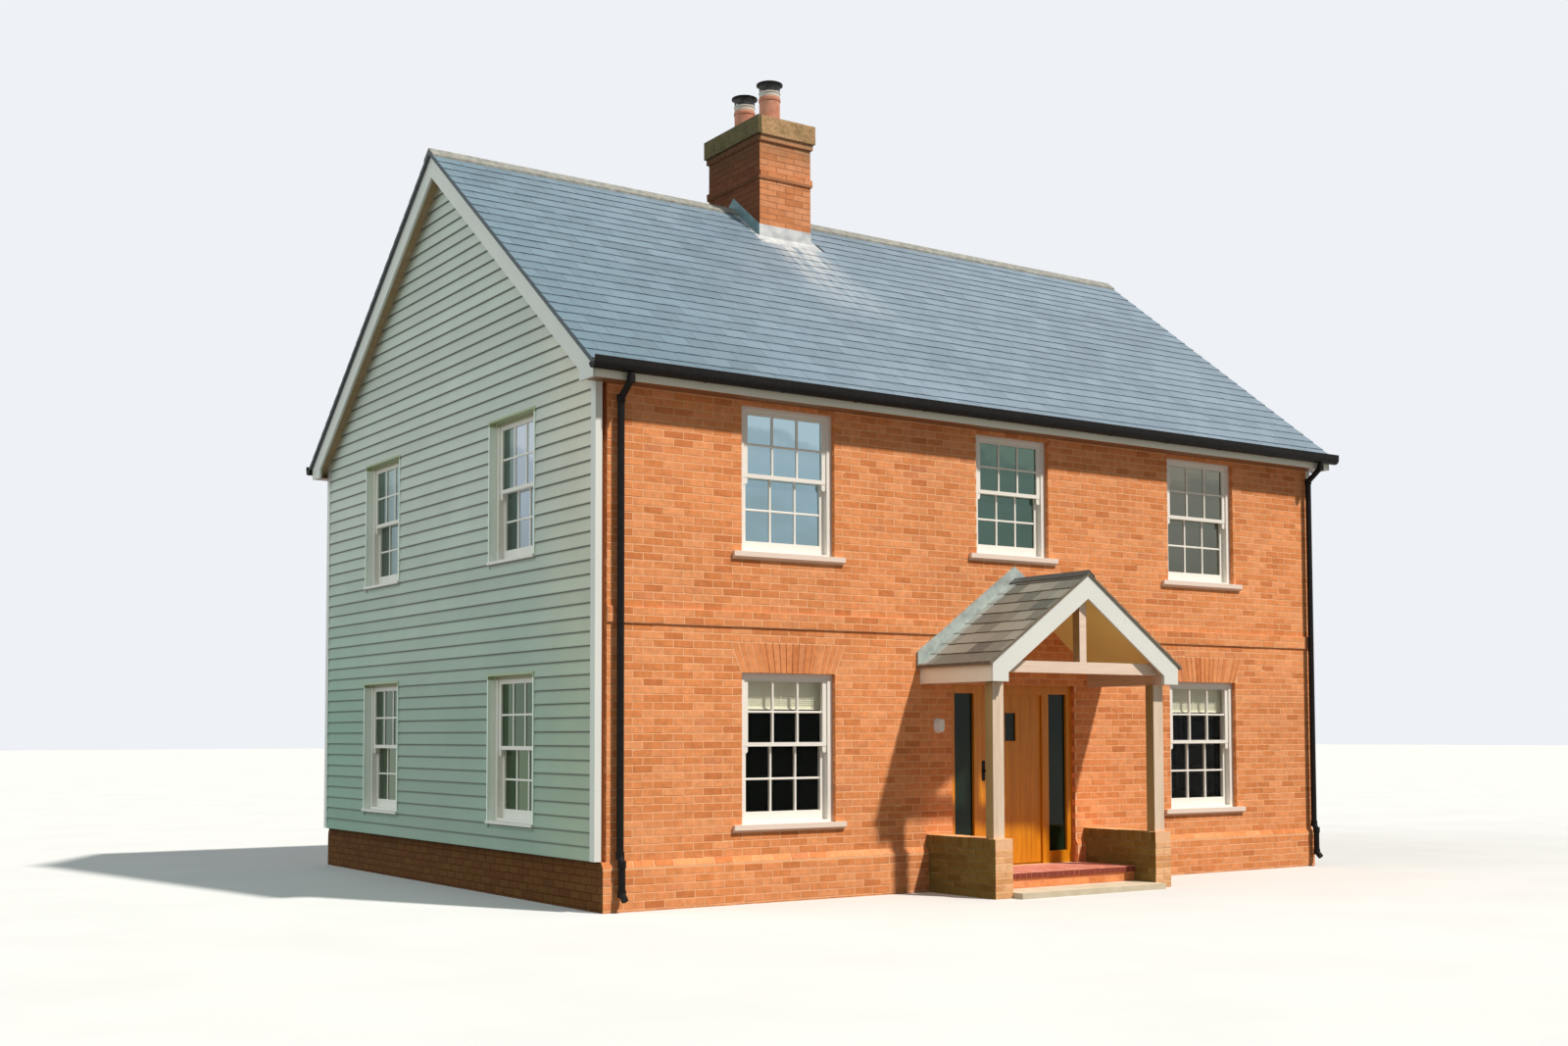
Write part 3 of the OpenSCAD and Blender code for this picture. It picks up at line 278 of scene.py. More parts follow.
course, stretcher, joint, first_joint, proud, bed_in = 0.075, 0.225, 0.01, 0.022, 0.002, 0.048
half_x, half_y, wall_top, quarter = 5.035, 3.705, 4.984, pi / 2
brick = eased("brick_pattern", (0.215, bed_in, 0.065), lambda a, b: a.y < -0.02 and b.y < -0.02, 0.0022)
edited(brick, bpy.ops.mesh.delete, faces=lambda c, n: n.y > 0.9, type="FACE")


def course_of(length, row, z0, z1, gaps=(), halves=None, returns=(True, True), out=0.0, owner=True, tilt=0.0):
    """The bricks of one course along a wall face, in the face's own x, y into the wall, and z. A gap is
    (x0, x1, slant at x0, slant at x1). An owner face has the corner bricks, the other stops short of them."""
    halves = halves or 2 * round(length / stretcher)
    half = (length + joint) / halves
    odd = (row + (not owner)) % 2
    marks = [0.0] + ([half] if odd else [])
    while marks[-1] < length - 0.02:
        marks.append(marks[-1] + 2 * half)
    marks[-1] = length + joint
    spans = []
    last = len(marks) - 2
    for i, (a, b) in enumerate(zip(marks, marks[1:])):
        b -= joint
        corner = (i == 0 and returns[0]) or (i == last and returns[1])
        if corner and not owner:
            continue
        depth = bed_in
        if corner:
            depth = half * 2 - joint if odd else half - joint
            a, b = (a - proud, b) if i == 0 else (a, b + proud)
        spans.append((a, b, depth, 0.0, 0.0))
    least = 0.025
    for g0, g1, s0, s1 in gaps:
        cut = []
        for a, b, depth, sa, sb in spans:
            if b <= g0 or a >= g1:
                cut.append((a, b, depth, sa, sb))
                continue
            if g0 - a > least:
                cut.append((a, g0, depth, sa, s0))
            if b - g1 > least:
                cut.append((g1, b, depth, s1, sb))
        spans = cut
    return [((a + b) / 2, depth / 2 - proud - out, (z0 + z1) / 2, b - a, depth, z1 - z0, 0.0, tilt, sa, sb)
        for a, b, depth, sa, sb in spans]


def onto_face(places, start, turn):
    """Turns a face's own places to the wall that starts at that corner."""
    c, s = cos(turn), sin(turn)
    return [(start[0] + p[0] * c - p[1] * s, start[1] + p[0] * s + p[1] * c, *p[2:6], turn, *p[7:]) for p in places]


def onto_wall(places, side):
    """As onto_face, for the front wall (side 1) or the back wall (side -1)."""
    return onto_face(places, (side * -half_x, side * -half_y), 0.0 if side > 0 else pi)


def bed(row):
    """The level of a bed joint."""
    return first_joint + row * course


# windows as (middle, width, bed of the sill, head); the middle upper one is smaller
side_x, middle_x, side_wide, middle_wide = (-2.91, 3.09), 0.09, 1.135, 1.055
low_sill, low_head, high_sill, small_sill, high_head = bed(9), bed(30), bed(45), bed(47), 4.94
low_windows = [(x, side_wide, low_sill, low_head) for x in side_x]
high_windows = [(x, side_wide, high_sill, high_head) for x in side_x] + [(middle_x, middle_wide, small_sill, high_head)]
back_windows = low_windows + high_windows + [(middle_x, middle_wide, low_sill, low_head)]
upstairs, arch_rise, arch_skew, arch_count, sill_horn = 3.0, 0.3, 0.12, 17, 0.108
plinth_rows, plinth_out, string_rows, string_out = 5, 0.035, (36, 37), 0.02
splay_low, splay_high, splay_out, splay_tilt = 0.3974, 0.4664, 0.0202, -atan2(0.035, 0.06)
door_half, door_head = 0.895, bed(29)
recess_wide, recess_deep, recess_low, recess_high = 0.052, 0.098, 0.4724, 4.99


def wall_places(windows, door, side):
    """All courses of the front or back wall, with their gaps for windows, sills and arches."""
    places = []
    for row in range(-1, 67):
        z0, z1 = max(bed(row) + joint / 2, 0.004), min(bed(row + 1) - joint / 2, wall_top)
        out = plinth_out if row < plinth_rows else string_out if row in string_rows else 0.0
        middle, tilt, gaps = (z0 + z1) / 2, 0.0, []
        for x, w, low, head in windows:
            at = half_x + side * x
            if abs(low + course / 2 - middle) < 0.03:
                gaps.append((at - w / 2 - sill_horn - 0.002, at + w / 2 + sill_horn + 0.002, 0, 0))
            elif low < middle < head:
                gaps.append((at - w / 2 + 0.002, at + w / 2 - 0.002, 0, 0))
            elif head < upstairs and head < middle < head + arch_rise:
                grow = w / 2 + arch_skew * (middle - head) / arch_rise + 0.008
                gaps.append((at - grow, at + grow, -arch_skew / arch_rise, arch_skew / arch_rise))
        if door and row > plinth_rows:
            gaps.append((-0.01, recess_wide, 0, 0))
        if door and middle < door_head:
            at = half_x + middle_x
            gaps.append((at - door_half + 0.002, at + door_half - 0.002, 0, 0))
        if row == plinth_rows:
            z0, z1, out, tilt = splay_low, splay_high, splay_out, splay_tilt
        corner = row < plinth_rows
        places += course_of(2 * half_x, row, z0, z1, gaps, returns=(corner, corner), out=out, tilt=tilt)
    for x, w, low, head in windows:
        if head > upstairs:
            frieze = course_of(w, 0, head + 0.003, wall_top, returns=(False, False))
            places += [(p[0] + half_x + side * x - w / 2, *p[1:]) for p in frieze]
    return onto_wall(places, side)


def arch_places(windows, side):
    """The tapered bricks of the flat arches over the ground floor windows."""
    places = []
    for x, w, low, head in windows:
        if head > upstairs:
            continue
        at = half_x + side * x
        for i in range(arch_count):
            k0, k1 = 2 * i / arch_count - 1, 2 * (i + 1) / arch_count - 1
            foot, top = w / 2, w / 2 + arch_skew
            a0, a1 = k0 * foot + joint / 2.5, k1 * foot - joint / 2.5
            t0, t1 = k0 * top + joint / 2.5, k1 * top - joint / 2.5
            rise = arch_rise - 0.006
            places.append((at + (a0 + a1 + t0 + t1) / 4, bed_in / 2 - proud, head - 0.001 + rise / 2,
                (a1 - a0 + t1 - t0) / 2, bed_in, rise, 0, 0, (t0 - a0) / rise, (t1 - a1) / rise))
    return onto_wall(places, side)


room_x, room_y, room_top, gable_face = 4.78, 3.45, 7.6, 5.0345


def tint(base, shade, fac=1.0):
    return blend(fac, base, shade, "MULTIPLY")


def tint_where(where, base, shade):
    return blend(where, base, tint(base, shade))


def times(a, b):
    return sums("MULTIPLY", a, b)


def above(value, level):
    return sums("GREATER_THAN", value, level)


def below(value, level):
    return sums("LESS_THAN", value, level)


def axis(place, name):
    return tree_node(place.id_data, "SeparateXYZ", Vector=place).outputs[name]


def reach(place, name):
    """How far a point lies from the middle of the house."""
    return sums("ABSOLUTE", axis(place, name))


def climb(value, start, end, low=0.0, high=1.0):
    """Evenly from low, where the value is at start, to high, where it is at end."""
    return tree_node(value.id_data, "MapRange", Value=value, i1=start, i2=end, i3=low, i4=high).outputs[0]


def relief(paint, height, depth, strength=1.0):
    bump = tree_node(paint.node_tree, "Bump", Height=height, Distance=depth, Strength=strength)
    coat(paint, bump.outputs["Normal"], "Normal")


def unlit_inside(place, base):
    """Painted shade: the same colour, but dark within the outer walls, where the rooms are not lit."""
    within = times(times(below(reach(place, "X"), room_x), below(reach(place, "Y"), room_y)),
        below(axis(place, "Z"), room_top))
    return blend(within, base, (0.02, 0.02, 0.019))


def shaded_gable_sides(place, base, gable_shade):
    """Painted shade: the same colour, darker on the gable sides of the plinth."""
    return tint_where(above(reach(place, "X"), gable_face), base, gable_shade)


def own_tone(place):
    """The tone that each brick or slate was given as it was laid."""
    return tree_node(place.id_data, "Attribute", set_attribute_name="tone").outputs["Fac"]


clay, place = finish("orange_brick", rough=0.85, shine=0.25)
base = ramp(own_tone(place), (0.0, (0.64, 0.205, 0.065)), (0.14, (0.73, 0.25, 0.08)), (0.4, (0.79, 0.285, 0.1)),
    (0.7, (0.83, 0.315, 0.12)), (0.93, (0.87, 0.355, 0.145)), (1.0, (0.7, 0.25, 0.1)))
base = tint(base, mottled(place, 14, 0.86, 1.12, 4))
base = tint(base, ramp(cloudy(place, 260, 2), (0.36, 0.78), (0.5, 1.0), (0.72, 1.1)), 0.8)
base = tint(base, mottled(place, 0.7, 0.9, 1.06))
# painted shade: the bricks are darker on the gable sides of the plinth
coat(clay, shaded_gable_sides(place, base, (0.17, 0.165, 0.07)))
relief(clay, sums("ADD", cloudy(place, 240), cloudy(place, 40, 2)), 0.0016, 0.7)

mortar, place = finish("lime_mortar", rough=0.95, shine=0.15)
base = mottled(place, 30, (0.82, 0.42, 0.21), (0.9, 0.5, 0.27), 4)
base = blend(below(reach(place, "Y"), half_y - 0.0005), base, (0.56, 0.19, 0.07))
# painted shade: the mortar is dark inside the rooms and darker on the gable sides of the plinth
coat(mortar, unlit_inside(place, shaded_gable_sides(place, base, (0.16, 0.16, 0.09))))
relief(mortar, cloudy(place, 300), 0.0015, 0.8)


def paint_nodes(paint, *names):
    for name in names:
        nodes[name].data.materials.clear()
        nodes[name].data.materials.append(paint)


def skin(paint):
    """The colour of a finish and the coordinates it reads."""
    parts = paint.node_tree.nodes
    return parts["Principled BSDF"].inputs["Base Color"].links[0].from_socket, parts["Texture Coordinate"].outputs


as_it_is = (1.0, 1.0, 1.0)


def toned(paint, name, shade=as_it_is):
    """The same finish, weathered to another tone."""
    made = paint.copy()
    made.name = name
    base, ways = skin(made)
    coat(made, tint(base, shade))
    return made


def shaded_away_side(paint, shade):
    """Painted shade: darkens a finish on the faces that look away from the lamp."""
    base, ways = skin(paint)
    coat(paint, tint_where(below(axis(ways["Normal"], "X"), -0.6), base, shade))
    return paint


def reshaped(node, name, paint, moved=lambda *corner: corner):
    """A piece that stands for a node, of the same shape but for the corners that are moved."""
    mesh = nodes[node].data.copy()
    for point in mesh.vertices:
        point.co = moved(*point.co)
    piece = piece_of(name, mesh, paint)
    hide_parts(node)
    return piece


paint_nodes(mortar, "front_wall_right", "front_wall_over_door", "back_wall", "window_arches", "gable_plinths")
# painted shade: the porch walls' and the stack's mortar are darker on faces turned away from the lamp
paint_nodes(shaded_away_side(toned(mortar, "porch_mortar", (1.0, 1.1, 1.2)), (0.22, 0.3, 0.2)), "porch_walls")
paint_nodes(shaded_away_side(toned(mortar, "sooted_mortar", (0.8, 1.0, 1.3)), (0.22, 0.24, 0.22)), "chimney_stack")
paint_nodes(toned(mortar, "red_mortar", (0.8, 0.5, 0.5)), "door_step")
primed, place = finish("primed_reveal", rough=0.7)
coat(primed, unlit_inside(place, mottled(place, 6, (0.8, 0.86, 0.77), (0.86, 0.92, 0.83))))
paint_nodes(primed, "left_gable_wall", "right_gable_wall")
# painted shade: the porch bricks are darker on faces turned away from the lamp
sandy_clay = shaded_away_side(toned(clay, "sandy_brick", (1.05, 1.5, 1.9)), (0.26, 0.3, 0.14))

# a narrow upright recess at the front left corner, between the corner board and the brickwork
recess = box_piece("corner_recess_cut", (0.2, 0.2, recess_high - recess_low))
recess.location = (recess_wide - half_x - 0.1, recess_deep - half_y - 0.1, (recess_low + recess_high) / 2)
recessed_wall = reshaped("front_wall_left", "recessed_front_wall_left", mortar)
worked(recessed_wall, "BOOLEAN", operation="DIFFERENCE", solver="EXACT", object=recess)
bpy.data.objects.remove(recess)

lay("front_bricks", brick, wall_places(low_windows + high_windows, True, 1), clay, 11)
lay("back_bricks", brick, wall_places(back_windows, False, -1), clay, 12)
lay("arch_bricks", brick, arch_places(low_windows, 1) + arch_places(back_windows, -1), clay, 13)
plinth = []
for side in (-1, 1):
    face = []
    for row in range(-1, plinth_rows + 1):
        z0, z1 = max(bed(row) + joint / 2, 0.004), bed(row + 1) - joint / 2
        if row < plinth_rows:
            face += course_of(2 * (half_y + plinth_out), row, z0, z1, owner=False)
        else:
            top = course_of(2 * half_y, row, z0, z1, returns=(False, False))
            face += [(p[0] + plinth_out, *p[1:]) for p in top]
    plinth += onto_face(face, (side * half_x, -side * (half_y + plinth_out)), side * quarter)
lay("plinth_bricks", brick, plinth, clay, 14)

# the two dwarf walls of the porch, with a coping of bricks on edge, and the brick landing between
paver = eased("paver_pattern", (0.065, 0.215, 0.1), lambda a, b: a.z > 0 and b.z > 0, 0.005, 2)
porch_x, porch_half, porch_wall, porch_deep, porch_course, porch_rows = 0.09, 1.25, 0.23, 1.1, 0.07, 7
coping_count, coping_level, coping_high, coping_gap = 15, 0.5495, 0.105, 0.008
dwarf = []
for row in range(porch_rows):
    z0, z1 = row * porch_course + joint / 2, (row + 1) * porch_course - joint / 2
    for x in (porch_x - porch_half, porch_x + porch_half - porch_wall):
        dwarf += onto_face(course_of(porch_wall, row, z0, z1), (x, -half_y - porch_deep), 0.0)
        outer = course_of(porch_deep, row, z0, z1, returns=(False, True), owner=False)
        dwarf += onto_face(outer, (x, -half_y), -quarter)
        inner = course_of(porch_deep, row, z0, z1, returns=(True, False), owner=False)
        dwarf += onto_face(inner, (x + porch_wall, -half_y - porch_deep), quarter)
pace = (porch_deep + proud - coping_gap) / coping_count
coping = [(porch_x + side * (porch_half - porch_wall / 2), -half_y - coping_gap - pace * (i + 0.5), coping_level,
    pace - 0.009, porch_wall + 2 * proud, coping_high, quarter) for side in (-1, 1) for i in range(coping_count)]
lay("porch_wall_bricks", brick, dwarf, sandy_clay, 16)
lay("porch_wall_coping", paver, coping, sandy_clay, 17)

# the landing: two thin courses in the riser, and treads of red quarry bricks on edge with a maroon nose
landing_deep, landing_half, tread_count, tread_level, tread_high = 0.795, 1.02, 27, 0.1925, 0.059
riser = []
for row, (z0, z1) in enumerate(((0.0655, 0.1305), (0.1405, 0.1605))):
    riser += course_of(2 * landing_half, row, z0, z1, returns=(False, False))
riser = onto_face(riser, (porch_x - landing_half, -half_y - landing_deep + 0.015), 0.0)
lay("landing_riser", brick, riser, clay, 18)
pace = 2 * landing_half / tread_count
treads = [(porch_x - landing_half + pace * (i + 0.5), -half_y + (y0 + y1) / 2, tread_level, pace - 0.008, y1 - y0,
    tread_high) for y0, y1 in ((-landing_deep - 0.003, -0.585), (-0.575, -0.365), (-0.355, -0.145), (-0.135, -0.04))
    for i in range(tread_count)]
quarry = toned(clay, "red_quarry_brick", (0.9, 0.95, 1.9))
base, ways = skin(quarry)
coat(quarry, blend(climb(axis(ways["Object"], "Z"), 0.2125, 0.2175), (0.22, 0.045, 0.03), base))
lay("landing_treads", paver, treads, quarry, 19)


# ------------------------
# Chimney: a brick stack with a band and one oversailing course, under a rendered cap that is
# grown over with lichen, two clay pots with flat cowls, and dressed lead round its foot.
stack_x, stack_w, stack_d, band_z, oversail_z, stack_foot = -0.835, 0.76, 1.18, 8.4898, 8.9598, 7.6
pitch, ridge_line = radians(38), 8.2258


def slate_top(y):
    return ridge_line - tan(pitch) * abs(y)


stack = []
for row in range(-2, 17):
    z0 = oversail_z - (row + 1) * course + joint / 2
    z1 = z0 + course - joint
    if z0 < stack_foot or z0 > oversail_z + 0.01 + course:
        continue
    out = 0.024 if z0 > oversail_z else 0.02 if abs(z0 - band_z) < 0.04 else 0.0
    for turn, wide, deep in ((0, stack_w, stack_d), (pi, stack_w, stack_d),
            (-quarter, stack_d, stack_w), (quarter, stack_d, stack_w)):
        at_side = abs(turn) == quarter
        face = course_of(wide + 2 * out, row, z0, z1, owner=not at_side, halves=2 * round(wide / stretcher))
        c, s = cos(turn), sin(turn)
        u, v = -(wide / 2 + out), -(deep / 2 + out)
        for p in onto_face(face, (stack_x + u * c - v * s, u * s + v * c), turn):
            if p[2] + 0.04 > slate_top(abs(p[1]) + (p[3] / 2 if at_side else 0.0)):
                stack.append(p)


def shaded_stack_left(place, base, shade):
    """Painted shade: the same colour, dark on the stack's left face, which looks away from the lamp."""
    return tint_where(below(axis(place, "X"), stack_x - stack_w / 2 + 0.004), base, shade)


sooted_and_shaded = clay.copy()
sooted_and_shaded.name = "chimney_brick"
clean, ways = skin(sooted_and_shaded)
place = ways["Object"]
soot = climb(sums("ADD", axis(place, "Z"), times(cloudy(place, 5), 0.5)), 8.95, 9.35, 0.0, 0.75)
grimy = tint(blend(soot, clean, (0.36, 0.25, 0.12)), (0.82, 0.87, 1.0))
# soot darkens the top of the stack; painted shade darkens its left face
coat(sooted_and_shaded, shaded_stack_left(place, grimy, (0.21, 0.16, 0.12)))
lay("chimney_bricks", brick, stack, sooted_and_shaded, 15)

lichen, place = finish("lichened_render", rough=0.95, shine=0.2)
base = ramp(cloudy(place, 7, 6, 0.65), (0.3, (0.3, 0.2, 0.09)), (0.48, (0.49, 0.3, 0.15)),
    (0.6, (0.57, 0.35, 0.18)), (0.75, (0.36, 0.28, 0.14)))
base = tint(base, mottled(place, 45, 0.75, 1.2, 4, (0.45, 0.62)), 0.8)
# painted shade: the cap is darker on its left face
coat(lichen, shaded_stack_left(place, base, (0.28, 0.36, 0.34)))
relief(lichen, cloudy(place, 60, 5), 0.006, 0.8)
paint_nodes(lichen, "chimney_cap")

terracotta, place = finish("terracotta", rough=0.8, shine=0.3)
base = mottled(place, 9, (0.5, 0.21, 0.13), (0.62, 0.29, 0.2), 4, (0.35, 0.65))
collar_low = 9.64
coat(terracotta, blend(above(axis(place, "Z"), collar_low), base, (0.6, 0.56, 0.5)))
relief(terracotta, cloudy(place, 120), 0.001, 0.6)
paint_nodes(terracotta, "chimney_pots")

black_iron, place = finish("black_gloss_iron", rough=0.5, shine=0.12)
coat(black_iron, mottled(place, 20, (0.005, 0.004, 0.004), (0.012, 0.01, 0.009)))
coat(black_iron, climb(cloudy(place, 35), 0.0, 1.0, 0.4, 0.6), "Roughness")
relief(black_iron, cloudy(place, 90), 0.0006, 0.5)
paint_nodes(black_iron, "chimney_cowls", "cowl_legs", "gutters", "downpipes", "door_hinges", "door_handle")

# wire guards under the lids of the pots, of galvanised mesh that is soldered to the legs
pot_y, guard_z = 0.29, 9.747
guards = []
for y in (-pot_y, pot_y):
    choose()
    bpy.ops.mesh.primitive_cylinder_add(vertices=40, radius=0.1285, depth=0.092, end_fill_type="NOTHING",
        location=(stack_x - 0.03, y, guard_z))
    guard = bpy.context.object
    bpy.ops.object.transform_apply(location=True, rotation=True, scale=True)
    edited(guard, bpy.ops.mesh.subdivide, edges=lambda a, b: abs(a.z - b.z) > 0.02, number_cuts=3)
    worked(guard, "WIREFRAME", thickness=0.0035, use_boundary=True)
    guards.append(guard)
choose(*guards)
bpy.ops.object.join()
wire_guards = guards[0]
wire_guards.name = wire_guards.data.name = "pot_wire_guards"
galvanised, place = finish("galvanised_wire", rough=0.38, metal=0.6)
coat(galvanised, mottled(place, 60, (0.1, 0.1, 0.1), (0.2, 0.2, 0.2)))
wire_guards.data.materials.append(galvanised)
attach(wire_guards, "house")

dull_lead, place = finish("dull_lead", rough=0.55, metal=0.35)
coat(dull_lead, ramp(cloudy(place, 8, 5), (0.3, (0.36, 0.37, 0.38)), (0.55, (0.52, 0.53, 0.53)),
    (0.8, (0.66, 0.66, 0.64))))
relief(dull_lead, cloudy(place, 16, 4), 0.004, 0.6)
# painted shade: the stack's lead is darker on faces turned away from the lamp
paint_nodes(shaded_away_side(toned(dull_lead, "stack_lead"), (0.22, 0.36, 0.4)), "chimney_flashing")
paint_nodes(toned(dull_lead, "aged_lead", (0.83, 0.9, 0.84)), "porch_flashing")


# ------------------------
# Slating: blue-grey slates 300 mm wide, 195 mm of each showing, nailed in broken bond on both
# slopes. The stepped slating of the frame is the course below, seen only in the open joints.
slate_dark, place = finish("slate_below", rough=0.7)
coat(slate_dark, mottled(place, 25, (0.06, 0.07, 0.08), (0.1, 0.115, 0.13)))
paint_nodes(slate_dark, "front_slates", "back_slates")
paint_nodes(toned(slate_dark, "porch_slate_below", (1.9, 1.25, 0.7)), "porch_slates")

slate = box_piece("slate_pattern", (0.3, 0.235, 0.006))
edited(slate, bpy.ops.mesh.subdivide, edges=lambda a, b: abs(a.x - b.x) > 0.1, number_cuts=4)
edited(slate, bpy.ops.mesh.bevel, edges=lambda a, b: max(a.y, b.y) < -0.1 and min(a.z, b.z) > 0, offset=0.002,
    segments=1)
slate_gauge, slate_lap, slate_thick, slate_step, slate_lift = 0.195, 0.045, 0.006, 0.009, 0.0045
slate_end, verge_x = 3.945, 5.272


def stretch(place, scale):
    return tree_node(place.id_data, "Mapping", Vector=place, Scale=scale).outputs["Vector"]


def slope_courses(run, x0, x1, width, seed):
    """Slates on one slope: x along the eaves, distance up the slope from the eave, in broken bond."""
    rng = np.random.default_rng(seed)
    places = []
    for row in range(int(run / slate_gauge) + 1):
        at = row * slate_gauge
        length = min(slate_gauge + slate_lap, run - at - 0.004)
        if length < 0.06:
            continue
        x = x0 - (width / 2 if row % 2 else 0.0)
        while x < x1 - 0.01:
            a, b = max(x, x0) + 0.0015, min(x + width, x1) - 0.0015
            x += width
            if b - a < 0.03:
                continue
            slip = rng.normal(0, 0.0022)
            places.append(((a + b) / 2, at + length / 2 + slip, row, b - a, length, rng.normal(0, 0.004)))
    return places


def slate_mesh(name, slope_places, place_on_roof, paint, seed):
    """As lay, for slates given on a slope; place_on_roof turns their coordinates to the frame's."""
    rng = np.random.default_rng(seed)
    spots = np.array([v.co for v in slate.data.vertices])
    half = np.abs(spots).max(0)
    points, tones = [], []
    for x, s, row, w, l, skew in slope_places:
        shape = spots.copy()
        shape[:, 0] *= w / 2 / half[0]
        shape[:, 1:] += np.sign(spots[:, 1:]) * (np.array([l, slate_thick]) / 2 - half[1:])
        shape[:, 1] += np.where(spots[:, 1] < 0, rng.normal(0, 0.0016, len(spots)), 0)
        shape[:, 0] -= skew * shape[:, 1]
        points.append(place_on_roof(x + shape[:, 0], s + shape[:, 1], shape[:, 2], row))
        tones += [rng.random()] * len(spots)
    piece = piece_of(name, copied_mesh(slate, np.concatenate(points), tones), paint)
    edited(piece, bpy.ops.mesh.normals_make_consistent, faces=lambda c, n: True, inside=False)
    return piece


def up_slope(s, n, row, edge, eave_z, fall):
    """How far from the ridge and how high a point is, at s up the slope and n off it."""
    height = n + slate_lift - slate_step * (s - row * slate_gauge) / slate_gauge
    return (edge - s * cos(fall) + height * sin(fall),
        eave_z + s * sin(fall) + height * cos(fall))


def slate_finish(name, low, mid, high, stain):
    made, place = finish(name, rough=0.5, shine=0.45)
    base = ramp(own_tone(place), (0.0, low), (0.5, mid), (1.0, high))
    base = tint(base, mottled(stretch(place, (9, 60, 60)), 1.0, 0.93, 1.07, 5))
    base = tint(base, mottled(place, 0.9, 0.94, 1.06, 4, (0.35, 0.65)))
    specks = mottled(place, 22, 0.0, 1.0, 5, (0.62, 0.75), 0.7)
    base = blend(times(specks, 0.22), base, stain)
    coat(made, base)
    coat(made, climb(cloudy(place, 12, 4), 0.0, 1.0, 0.38, 0.62), "Roughness")
    relief(made, cloudy(stretch(place, (20, 60, 60)), 1.5, 5), 0.0025, 0.7)
    return made, place, base


blue_slate, place, base = slate_finish(
    "blue_slate", (0.145, 0.198, 0.246), (0.163, 0.222, 0.276), (0.186, 0.248, 0.305), (0.28, 0.31, 0.32))
# lime washed down from the stack, below its apron on the front slope
apart = sums("ABSOLUTE", sums("SUBTRACT", axis(place, "X"), stack_x + 0.05))
down = sums("SUBTRACT", -0.5, axis(place, "Y"))
spread = sums("ADD", 0.42, times(down, 0.15))
across = climb(sums("DIVIDE", apart, spread), 0.35, 1.0, 1.0, 0.0)
along = climb(down, 0.25, 1.9, 1.0, 0.0)
streak = mottled(stretch(place, (14, 1.6, 1.6)), 1.0, 0.0, 1.0, 5, (0.36, 0.66), 0.65)
wash = times(times(across, along), times(streak, above(down, 0.0)))
base = tint(base, blend(climb(axis(place, "X"), -5.0, -1.5), (0.7, 0.82, 0.82), as_it_is))
coat(blue_slate, blend(wash, base, (0.6, 0.59, 0.57)))

for side, name in ((1, "front"), (-1, "back")):
    def main_slope(x, s, n, row):
        u, z = up_slope(s, n, row, slate_end, slate_top(slate_end), pitch)
        return np.stack([x, -side * u, z], -1)
    slope = slope_courses(slate_end / cos(pitch), -verge_x, verge_x, 0.3, 21 + side)
    kept = [p for p in slope if not (abs(p[0] - stack_x) < stack_w / 2 and
        slate_end - (p[1] + p[4] / 2) * cos(pitch) < stack_d / 2 + 0.02)]
    slate_mesh(name + "_slate_courses", kept, main_slope, blue_slate, 31 + side)

# The porch has smaller brown-grey slates of the same kind.
porch_pitch, porch_edge, porch_top, porch_verge = radians(35.4), 1.37, 3.356, 1.182
brown_slate = slate_finish(
    "brown_slate", (0.095, 0.1, 0.085), (0.185, 0.183, 0.15), (0.3, 0.29, 0.24), (0.44, 0.43, 0.35))[0]
for side, name in ((1, "right"), (-1, "left")):
    def porch_slope(x, s, n, row):
        u, z = up_slope(s, n, row, porch_edge, porch_top - porch_edge * tan(porch_pitch), porch_pitch)
        return np.stack([porch_x + side * u, -half_y - x, z], -1)
    slope = slope_courses(porch_edge / cos(porch_pitch), 0.004, porch_verge, 0.25, 25 + side)
    slate_mesh("porch_slate_courses_" + name, slope, porch_slope, brown_slate, 35 + side)

ridge_clay, place = finish("weathered_ridge", rough=0.9)
coat(ridge_clay, ramp(cloudy(place, 12, 6, 0.7), (0.3, (0.16, 0.16, 0.14)), (0.5, (0.27, 0.265, 0.235)),
    (0.72, (0.42, 0.41, 0.36))))
relief(ridge_clay, cloudy(place, 50, 5), 0.004, 0.8)
paint_nodes(ridge_clay, "ridge_tiles")
paint_nodes(toned(brown_slate, "dark_slate_ridge", (0.55, 0.55, 0.6)), "porch_ridge")


# ------------------------
# Painted woodwork: sage-grey weatherboards, white corner boards, bargeboards and windows,
# cream fascias and soffits, all of softwood under three coats of satin paint.
def paint_finish(name, colour, grain_along, drift=0.06, rough=0.42):
    made, place = finish(name, rough=rough)
    base = blend(1.0, colour, mottled(place, 1.3, 1 - drift, 1 + drift, 4), "MULTIPLY")
    soil = mottled(place, 9, 0.0, 0.35, 6, (0.6, 0.85), 0.7)
    coat(made, blend(soil, base, (0.35, 0.36, 0.3)))
    relief(made, cloudy(stretch(place, grain_along), 1.0, 4), 0.0008, 0.5)
    return made, place, base


board_low, board_gauge = 0.478, 0.135
sage, place, base = paint_finish("sage_paint", (0.575, 0.63, 0.55), (60, 4, 90), rough=0.5)
level, along = axis(place, "Z"), axis(place, "Y")
